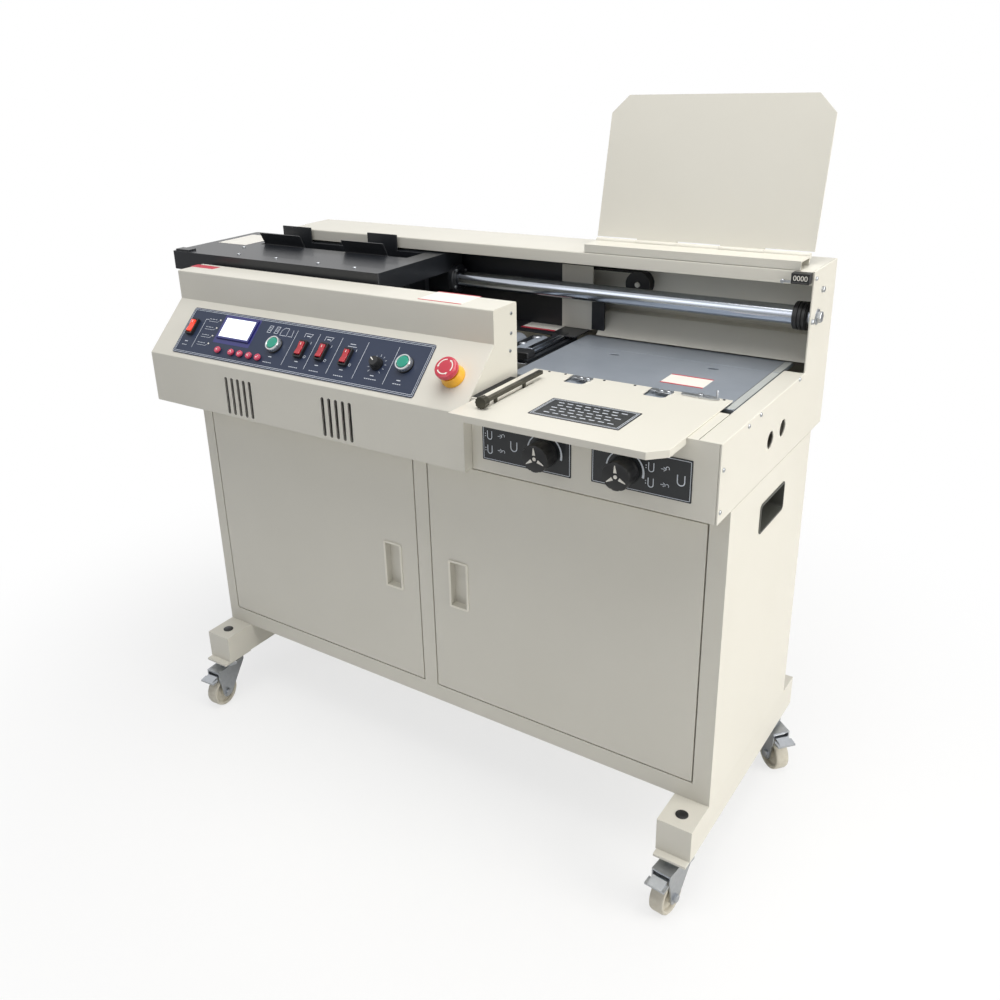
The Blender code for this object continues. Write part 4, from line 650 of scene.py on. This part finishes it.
# Control box: end screws and bare labels
end_screws = [(68.5, 927), (67.5, 894), (64, 865)]
screws("box_end_screws", right(box_right), end_screws, 3)
screws("box_left_screws", left(box_left), [(-y, z) for y, z in end_screws] + [(20, 715)], 3)
red_label = pad(-571, 64, 66, 21, 0.6, 0, 0.2, label_edge)
piece("box_label_left", top(box_top), [red_label], label_red)
bare_label("box_label_right", top(box_top), 36, 58, 88, 62, 0.6, 0.2)
label_edges("box_label_right_edges", top(box_top), 36, 58, 88, 29, 4, 0.4, 0.24)

# Legend plates behind the two knobs: frames, book spine pictures and turning arcs
legend_low, legend_high = 0.78, 0.88
knob_z = centre("adjust_knob_left", along_z)
knob_outline_steps = 60


def legend(points, width, high=legend_high, closed=False):
    """A white line printed on a legend plate."""
    return stroke(points, width, legend_low, high, closed)


def spine(x, z, radius, rise, width):
    """A round-bottomed book spine between two upright sheets."""
    bottom = arc(x + radius, z, radius, 180, 360, 8)
    return legend([(x, z + rise)] + bottom + [(x + 2 * radius, z + rise)], width)


def swelling_arc(x, z, start, end, thin, thick, grows):
    """An arc round a knob whose line swells towards one end."""
    steps, arc_radius = 18, 29.5
    turns = [math.radians(start + (end - start) * step / steps) for step in range(steps + 1)]
    shares = [step / steps if grows else 1 - step / steps for step in range(steps + 1)]
    widths = [thin + (thick - thin) * share for share in shares]
    outer = [polar(x, z, arc_radius + width / 2, turn) for turn, width in zip(turns, widths)]
    inner = [polar(x, z, arc_radius - width / 2, turn) for turn, width in zip(turns, widths)]
    return slab(outer + inner[::-1], legend_low, legend_high)


def adjust_knob(side, place, x, z):
    """A grooved knob with a domed front, and three pale darts round a dot."""
    knob = f"adjust_knob_{side}"
    skirt = [(4, -18), (4, 1.5), (22.4, 1.5), (23.0, 2.2), (23.0, 5.2), (22.6, 6.4), (21.8, 8.4), (20.6, 8.6)]
    grip_radius, groove, grooves, face_height = 22.4, 0.9, 10, 31.2
    angles = [math.tau * number / knob_outline_steps for number in range(knob_outline_steps)]
    radii = [grip_radius - groove * max(0.0, math.cos(grooves * angle)) ** 3 for angle in angles]
    rings = [
        ([polar(x, z, radius - shrink, angle) for radius, angle in zip(radii, angles)], height)
        for shrink, height in ((0, 8.0), (0, 29.0), (0.6, 30.6), (1.8, 31.3))
    ]
    piece(f"{knob}_grip", place, [turned(x, z, skirt, 48), loft(rings)], black_abs, knob, knob)
    darts = [turned(x, z, [(3.0, face_height), (3.0, 31.6), (2.4, 31.8)], 24)]
    middle = Vector((x, z))
    for turn in (95, 215, 335):
        out = Vector((math.cos(math.radians(turn)), math.sin(math.radians(turn))))
        aside = Vector((-out.y, out.x))
        foot, tip = middle + out * 6, middle + out * 17.5
        outline = [foot + aside * 2.7, foot - aside * 2.7, tip - aside * 0.6, tip + aside * 0.6]
        darts.append(slab([tuple(point) for point in outline], face_height, 31.5))
    piece(f"{knob}_darts", place, darts, label_white, knob)


plate_face = front(knob_panel_front)
legend_plates = (
    ("left", 171, 330, 720, 781, 779, 776, (178, 200, 224)),
    ("right", 364, 521, 723, 788, 785, 781, (452, 474, 499)),
)
for side, x_low, x_high, z_low, z_high, dart_top, dart_tip, icons in legend_plates:
    knob_x = centre(f"adjust_knob_{side}", along_x)
    middle_x, middle_z = (x_low + x_high) / 2, (z_low + z_high) / 2
    width, height = x_high - x_low, z_high - z_low
    plate = pad(middle_x, middle_z, width, height, 1.5, 0, 0.8, 0.2)
    piece(f"legend_plate_{side}", plate_face, [plate], black_film)
    inks = [legend(rounded(middle_x, middle_z, width - 5, height - 5, 1.5), 0.8, 0.86, True)]
    block_x, arrow_x, spine_x = icons
    for row, low in enumerate((z_low + 36, z_low + 12)):
        inks.append(spine(block_x + 3, low + 4, 4, 10, 1.3))
        inks.append(legend([(arrow_x, low + 8), (arrow_x + 5, low + 8)], 0.9))
        inks.append(legend([(arrow_x + 4, low + 11), (arrow_x + 8, low + 8), (arrow_x + 4, low + 5)], 0.9))
        inks.append(legend(arc(arrow_x + 10, low + 10 - 3 * row, 2.6, -40, 200, 10), 0.9))
        if row == 0:
            inks.append(spine(spine_x, low - 6.5, 5.5, 10.5, 1.5))
        for dot in range(2):
            dot_z = low + 4 + 4 * dot
            inks.append(box(block_x - 1.5, dot_z, block_x, dot_z + 1.5, legend_low, legend_high))
    inks.append(swelling_arc(knob_x, knob_z, 172, 104, 1.2, 2.4, False))
    inks.append(swelling_arc(knob_x, knob_z, 76, -14, 1.2, 3.6, True))
    dart = [(knob_x - 2.4, dart_top), (knob_x + 2.4, dart_top), (knob_x, dart_tip)]
    inks.append(slab(dart, legend_low, legend_high))
    piece(f"legend_ink_{side}", plate_face, inks, white_ink)
    adjust_knob(side, plate_face, knob_x, knob_z)

# Feed table: the framed black plate with plain ruled dashes on it
feed_face = top(feed_top)
plate_x, plate_y, plate_width, plate_depth = 344.5, -41, 149, 79
dash_length, dash_pitch, dash_low, dash_high, row_pitch, row_shift = 9.5, 15, 0.68, 0.78, 11.5, 4
piece("feed_plate", feed_face, [pad(plate_x, plate_y, plate_width, plate_depth, 2, 0, 0.7, 0.2)], black_film)
inks = []
for gap in (3, 5.5):
    outline = rounded(plate_x, plate_y, plate_width - 2 * gap, plate_depth - 2 * gap, 1.5)
    inks.append(stroke(outline, 0.8, dash_low, dash_high, True))
for row in range(5):
    y = plate_y + 24 - row_pitch * row
    for number in range(8 - row % 2):
        x = plate_x - 56.5 + dash_pitch * number + row_shift * (row % 2)
        inks.append(stroke([(x, y), (x + dash_length, y)], 2.2, dash_low, dash_high))
piece("feed_plate_ink", feed_face, inks, white_ink)

# Clips and their screws in the table's notches, pins along its rear edge, and the paper spring
notches, clip_low, clip_high = (258.15, 397.9), 4.9, 6.6
clips, heads = [], []
for notch_x in notches:
    clips.append(pad(notch_x + 9, 103, 26, 14, 1.5, clip_low, clip_high, 0.3))
    clips.append(pad(notch_x - 11, 108, 12, 12, 1.5, clip_low, 6.0, 0.3))
    heads += [(notch_x + 4, 103), (notch_x + 15, 104)]
piece("notch_clips", top(table_top), clips, zinc_plate)
screws("notch_screws", top(table_top), heads, 3.4, clip_high)
pins = [turned(x, 113, [(2.2, 0), (2.2, 0.5), (1.6, 0.9)], 20) for x in (196, 227, 298, 352, 498)]
piece("feed_rear_pins", feed_face, pins, black_abs)
wire = [(433, 110), (452, 108), (461, 113), (486, 111), (492, 106), (480, 102), (452, 103), (436, 104)]
spring = [
    pad(456, 112, 50, 9, 1.5, 0, 1.4, 0.4),
    stroke(wire, 2.0, 1.4, 3.4, True),
    turned(487, 113, [(1.6, 1), (1.6, 13), (1, 14)], 16),
    turned(462, 110, [(4.2, 1.4), (4.2, 4.4), (3.2, 5.6)], 24),
]
piece("paper_spring", feed_face, spring, zinc_plate)

# Steel table: a bare label with red edges, and the bevel along its right end, drawn as a flat pale strip with a
# painted highlight and a dark line of painted shade beside it
bare_label("table_label", top(table_top), 408, 187, 72, 50, 0.8, 0.2)
label_edges("table_label_edges", top(table_top), 408, 187, 72, 23, 4, 0.6, 0.26)
bevel_left, bevel_right, chamfer_shade_width = 510, 522.4, 1
bevel_height, chamfer_shade_height = 0.3, 0.15
for side, low, high, body in (("front", 92, 294, "machine"), ("rear", 297, 362, "rear_nip_plate")):
    # The pale strip is the ground bevel with a painted highlight; the dark line beside it, in blacked steel, is
    # painted shade at the chamfer's edge
    bevel = box(bevel_left, low, bevel_right, high, 0, bevel_height)
    groove = box(bevel_left - chamfer_shade_width, low, bevel_left, high, 0, chamfer_shade_height)
    piece(f"{side}_plate_edge", top(table_top), [bevel], steel_edge_and_highlight, body)
    piece(f"{side}_plate_chamfer_shade", top(table_top), [groove], blacked_steel, body)

# Label on the bay cover
bay_sheet = 2
bay_cover = top(face("belt_guard", along_z, low_end) + bay_sheet)
bare_label("bay_label", bay_cover, 44, 356, 74, 52, 1, 0.25)
label_edges("bay_label_edges", bay_cover, 44, 356, 74, 22, 8, 0.6, 0.31)

# Trimming mechanism beside the table: a bright bar, its dark rails, black blocks, wheels and screws
mechanism_floor, mechanism_top = top(806), top(822)
bar_x = 104
mechanism_bar = [pad(bar_x, 252, 22, 112, 1.5, 9.5, 20, 1.2), pad(bar_x, 252, 12, 104, 1, 20, 23, 0.8)]
mechanism_rail = [box(117, 160, 125, 340, 0, 13), box(52, 190, 88, 300, 9.5, 16)]
mechanism_blocks = [pad(bar_x, 180, 34, 26, 3, 9.5, 24, 1), pad(98, 322, 30, 22, 3, 9.5, 20, 1)]
mechanism_wheels = [
    turned(72, 284, [(9, 0), (9, 4), (8, 5)], 32),
    turned(70, 236, [(7, 0), (7, 4), (6, 5)], 32),
]
piece("mechanism_bar", mechanism_floor, mechanism_bar, hard_chrome)
piece("mechanism_rail", mechanism_floor, mechanism_rail, black_paint)
piece("mechanism_blocks", mechanism_floor, mechanism_blocks, black_abs)
screws("mechanism_screws", mechanism_top, [(66, 284), (76, 262), (70, 236), (62, 212), (80, 206)], 4.2)
piece("mechanism_wheels", mechanism_top, mechanism_wheels, zinc_plate)

# Right side plate and column: pan heads, hexagon heads and the shaft's end bolt
shaft_y, shaft_z = 340, 905


def end_bolt(y, z):
    """The washer and hexagon head at an end of the guide shaft."""
    return [turned(y, z, [(13, 0), (13, 1.2), (12, 1.6)], 36), hexagon(y, z, 17, 1.6, 8)]


screws("side_screws", right(cabinet_side), [(48, 813), (97, 815), (277, 818), (-44, 779), (-47, 716)], 3.4)
column_bolt_z = 906
column_bolts = end_bolt(shaft_y, column_bolt_z)
for y, z, across, height in ((312, 904, 8, 4), (354, 948, 9, 4.5), (313, 973, 6, 3)):
    column_bolts.append(hexagon(y, z, across, 0, height))
piece("column_bolts", right(cabinet_side), column_bolts, zinc_plate)
left_screws = [(-120, 813), (-277, 818), (-400, 813), (-120, 716), (-400, 716)]
screws("left_plate_screws", left(-cabinet_side), left_screws, 3.4)
piece("left_shaft_bolt", left(-cabinet_side), end_bolt(-shaft_y, shaft_z), zinc_plate)

# Counter: four pale figures in its window, and its trip lever
window_depth, figures_x, figures_z = 1, 542.4, 975.2
digits = bpy.data.curves.new("counter_figures", "FONT")
digits.body = "0000"
digits.size = 11.5
digits.extrude = 0.2
digits.align_x = "CENTER"
digits.align_y = "CENTER"
digits.materials.append(label_white)
figures = bpy.data.objects.new("counter_figures", digits)
bpy.context.collection.objects.link(figures)
window = front(face("counter", along_y, low_end) + window_depth)
figures.matrix_world = window @ Matrix.Translation((figures_x, figures_z, 0.3))
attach(figures, "machine")
lever = [box(512, 966, 529, 970, -1.5, 1.5), turned(513, 968, [(3.4, -1.5), (3.4, 2.5), (2.6, 3.2)], 20)]
piece("counter_lever", front(298), lever, zinc_plate)

# Guide shaft, turned finely, with its black ridged collar: three ridges and the grooves between them
shaft = facing(spot(0, shaft_y, shaft_z), north, sky)
shaft_radius, shaft_chamfer = 16, 0.6
shaft_end = face("guide_shaft", along_x, high_end) + 1
shaft_profile = [
    (shaft_radius - shaft_chamfer, -shaft_end), (shaft_radius, shaft_chamfer - shaft_end),
    (shaft_radius, shaft_end - shaft_chamfer), (shaft_radius - shaft_chamfer, shaft_end),
]
piece("guide_shaft_bar", shaft, [turned(0, 0, shaft_profile, 72)], hard_chrome, "machine", "guide_shaft")
ridge_pitch, ridge_radius, ridge_groove = 6.3, 23.4, 21.8
collar = [(16.05, 525.5), (21.5, 525.5), (23.0, 526.5), (ridge_radius, 528.5)]
for ridge in range(3):
    start = 529 + ridge_pitch * ridge
    collar += [(ridge_radius, start), (ridge_radius, start + 4.3)]
    collar += [(ridge_groove, start + 4.9), (ridge_groove, start + 5.7)]
collar += [(23.0, 548.2), (21.5, 549), (16.05, 549)]
piece("shaft_collar", shaft, [turned(0, 0, collar, 56, True)], black_abs)

# Plates behind the shaft
piece("bearing_plate", front(372), [box(76, 826, 141, 946, 0, 2)], powder_coat)
piece("bearing_bar", front(371), [box(141, 828, 167, 890, 0, 4)], black_paint)

# Book clamp: screws, the bare label, and the bearing at its right end
clamp_lip = 4
clamp_top = top(face("carriage_frame", along_z, high_end) - clamp_lip)
clamp_heads = [(-538, 127), (-433, 127), (-318, 124), (-223, 120), (-519, 357), (-251, 340), (-588, 189)]
screws("clamp_screws", clamp_top, clamp_heads, 3.6, 0, "carriage")
bare_label("clamp_label", clamp_top, -648, 262, 84, 104, 1, 0.25, "carriage")
bearing = [(16.6, -150.2), (28, -150.2), (28, -141), (26.5, -139.5), (22, -139.5), (21, -138), (16.6, -138)]
piece("clamp_bearing", shaft, [turned(0, 0, bearing, 48, True)], black_paint, "carriage")
bolt_circle = 22.5
bolt_places = [polar(0, 0, bolt_circle, turn) for turn in (0.6, 2.2, 3.8, 5.4)]
bearing_bolts = [hexagon(x, y, 5.5, -139.6, -136.5, 0.4) for x, y in bolt_places]
piece("clamp_bearing_bolts", shaft, bearing_bolts, zinc_plate, "carriage")

# Casters: turned wheels with a raised tread, and the fasteners at the ends of their axles
half_wheel = [
    (4.3, 13), (10.6, 13), (11.2, 12.2), (11.2, 6), (12.5, 5), (25, 5), (26, 6), (26, 9.5), (27.2, 11.4),
    (30.2, 13), (32.2, 11.8), (33.3, 8.5),
]
wheel_profile = [(radius, -height) for radius, height in half_wheel]
wheel_profile += [(radius, height) for radius, height in half_wheel[::-1]]
for corner in ("front_left", "front_right", "rear_left", "rear_right"):
    joint = next(entry for entry in frame["joints"] if entry["name"] == f"roll_{corner}")
    axle = Vector(joint["pos_m"])
    along = Vector(joint["axis"]).normalized()
    place = facing(axle, sky.cross(along).normalized(), sky)
    if place.col[2].xyz.dot(along) < 0:
        place = facing(axle, along.cross(sky).normalized(), sky)
    wheel = turned(0, 0, wheel_profile, 48, True)
    axle_ends = [hexagon(0, 0, 12, 16.8, 22), turned(0, 0, [(7.5, -22), (7.5, -17)], 30)]
    piece(f"wheel_{corner}", place, [wheel], nylon, f"wheel_{corner}", f"caster_wheel_{corner}")
    piece(f"axle_nuts_{corner}", place, axle_ends, zinc_plate, f"fork_{corner}")

# Base beams: black plugs in the top holes
plug = [(10.5, 0), (10.5, 0.8), (9.6, 1.4)]
for side, node in (("left", "base_beam_left"), ("right", "base_beam_right")):
    plug_place = (centre(node, along_x), -40)
    piece(f"beam_plug_{side}", top(beam_top), [turned(*plug_place, plug, 32)], black_abs)

# Back of the cabinet: a screwed service panel with louvres
panel_z, panel_sheet = 420, 1.6
piece("service_panel", back(cabinet_back), [pad(0, panel_z, 980, 440, 8, 0, panel_sheet, 0.5)], powder_coat)
panel_points = [(x, z) for x in (-470, -235, 0, 235, 470) for z in (212, 628)]
panel_points += [(x, panel_z) for x in (-470, 470)]
screws("service_screws", back(cabinet_back + panel_sheet), panel_points, 4)
louvre_columns, lowest_louvre, louvre_pitch = (-300, 300), 320, 22
louvres = [
    pad(column, lowest_louvre + louvre_pitch * row, 150, 7, 3.4, 1.5, 3.6, 1.6)
    for row in range(7) for column in louvre_columns
]
piece("service_louvres", back(cabinet_back), louvres, powder_coat)

# Back of the housing: the appliance inlet and the rows of screws
inlet_x, inlet_z = 470, 740
inlet = [rim(inlet_x, inlet_z, 50, 32, 3, 6, 0, 3), pad(inlet_x, inlet_z, 40, 22, 2, -2, 0.8, 0.2)]
pins = [box(x - 1, inlet_z - 3, x + 1, inlet_z + 4, 0.6, 2.6) for x in (inlet_x - 7, inlet_x, inlet_x + 7)]
housing_points = [(x, z) for x in (-530, -180, 180, 530) for z in (712, 806, 834, 972)]
piece("inlet_body", back(housing_back), inlet, black_abs)
piece("inlet_pins", back(housing_back), pins, zinc_plate)
screws("housing_screws", back(housing_back), housing_points, 4)

# Camera at the photograph's place: turned to the right, looking down, and its horizon slightly tilted
camera_data = bpy.data.cameras.new("camera")
camera = bpy.data.objects.new("camera", camera_data)
bpy.context.collection.objects.link(camera)
camera_spot = spot(992, -1264, 1320)
azimuth, elevation, roll = math.radians(36.2), math.radians(22.0), math.radians(-2.4)
level = Vector((math.cos(azimuth), math.sin(azimuth), 0))
outward = Vector((math.sin(azimuth), -math.cos(azimuth), 0))
rear = outward * math.cos(elevation) + sky * math.sin(elevation)
upright = rear.cross(level)
across = level * math.cos(roll) + upright * math.sin(roll)
up = upright * math.cos(roll) - level * math.sin(roll)
camera.matrix_world = Matrix.Translation(camera_spot) @ Matrix((across, up, rear)).transposed().to_4x4()
photo_size, focal_pixels, optical_x, optical_y = 1000, 989.1, 450.4, 454.3
camera_data.sensor_width = 36
camera_data.lens = focal_pixels * camera_data.sensor_width / photo_size
camera_data.shift_x = (photo_size / 2 - optical_x) / photo_size
camera_data.shift_y = (optical_y - photo_size / 2) / photo_size
camera_data.clip_start, camera_data.clip_end = 0.05, 60
bpy.context.scene.camera = camera


def lamp(name, place, target, size, power, colour):
    """A square lamp, in metres and watts, that faces its target."""
    light = bpy.data.lights.new(name, "AREA")
    light.size = size
    light.energy = power
    light.color = linear(colour)[:3]
    made = bpy.data.objects.new(name, light)
    bpy.context.collection.objects.link(made)
    made.location = place
    made.rotation_euler = (Vector(target) - Vector(place)).to_track_quat("-Z", "Y").to_euler()


# Studio light: a broad lamp overhead, one to the right and a weak one in front
lamp("overhead_lamp", (0.5, -0.3, 3.2), (0.1, 0.1, 0.7), 2.2, 64, "#FFFEFB")
lamp("right_lamp", (3.2, 0.2, 1.6), (0.2, 0.0, 0.7), 1.8, 62, "#FFFCF6")
lamp("front_lamp", (-0.8, -2.4, 2.2), (-0.2, 0.0, 0.8), 1.2, 7, "#F6F8FF")

# White surround for the camera and for glossy surfaces, and a weak pale light for all else
white = linear("#FFFFFF")
ambient_strength = 0.25
world = bpy.data.worlds.new("studio")
world.use_nodes = True
bpy.context.scene.world = world
tree = world.node_tree
ambient = tree.nodes["Background"]
ambient.inputs["Color"].default_value = linear("#F4F6FA")
ambient.inputs["Strength"].default_value = ambient_strength
seen = add(tree, "ShaderNodeBackground", {"Color": white, "Strength": 1})
rays = add(tree, "ShaderNodeLightPath")
direct = add(
    tree, "ShaderNodeMath", None, {0: rays.outputs["Is Camera Ray"], 1: rays.outputs["Is Glossy Ray"]},
    operation="MAXIMUM",
)
choice = add(
    tree, "ShaderNodeMixShader", None,
    {0: direct.outputs["Value"], 1: ambient.outputs["Background"], 2: seen.outputs["Background"]},
)
tree.links.new(choice.outputs["Shader"], tree.nodes["World Output"].inputs["Surface"])

# Pale floor: it keeps the shadow under the machine and fades into the white surround further out, in metres
fade_start, fade_end, share_near, share_far, floor_reach = 0.5, 1.5, 0.7, 1, 14
floor_finish = surface("matt_floor", "#F4F4F3", "#F1F1F0", 0.8, 0.05, 3.0, 0.01, patch=400)
tree = floor_finish.node_tree
glow = add(tree, "ShaderNodeEmission", {"Color": white, "Strength": 1})
rays = add(tree, "ShaderNodeLightPath")
ground = add(tree, "ShaderNodeTexCoord").outputs["Object"]
distance = add(tree, "ShaderNodeVectorMath", None, {0: ground}, operation="LENGTH").outputs["Value"]
fade_range = {"From Min": fade_start, "From Max": fade_end, "To Min": share_near, "To Max": share_far}
fade = add(
    tree, "ShaderNodeMapRange", fade_range, {"Value": distance}, interpolation_type="SMOOTHSTEP"
).outputs["Result"]
share = add(tree, "ShaderNodeMath", None, {0: rays.outputs["Is Camera Ray"], 1: fade}, operation="MULTIPLY")
lit_floor = tree.nodes["Principled BSDF"].outputs["BSDF"]
choice = add(
    tree, "ShaderNodeMixShader", None, {0: share.outputs["Value"], 1: lit_floor, 2: glow.outputs["Emission"]}
)
tree.links.new(choice.outputs["Shader"], tree.nodes["Material Output"].inputs["Surface"])
floor_corners = [(x * floor_reach, y * floor_reach, 0) for x, y in ((-1, -1), (1, -1), (1, 1), (-1, 1))]
floor_mesh = bpy.data.meshes.new("floor")
floor_mesh.from_pydata(floor_corners, [], [(0, 1, 2, 3)])
floor_mesh.materials.append(floor_finish)
floor = bpy.data.objects.new("floor", floor_mesh)
bpy.context.collection.objects.link(floor)

bpy.context.scene.view_settings.view_transform = "Standard"
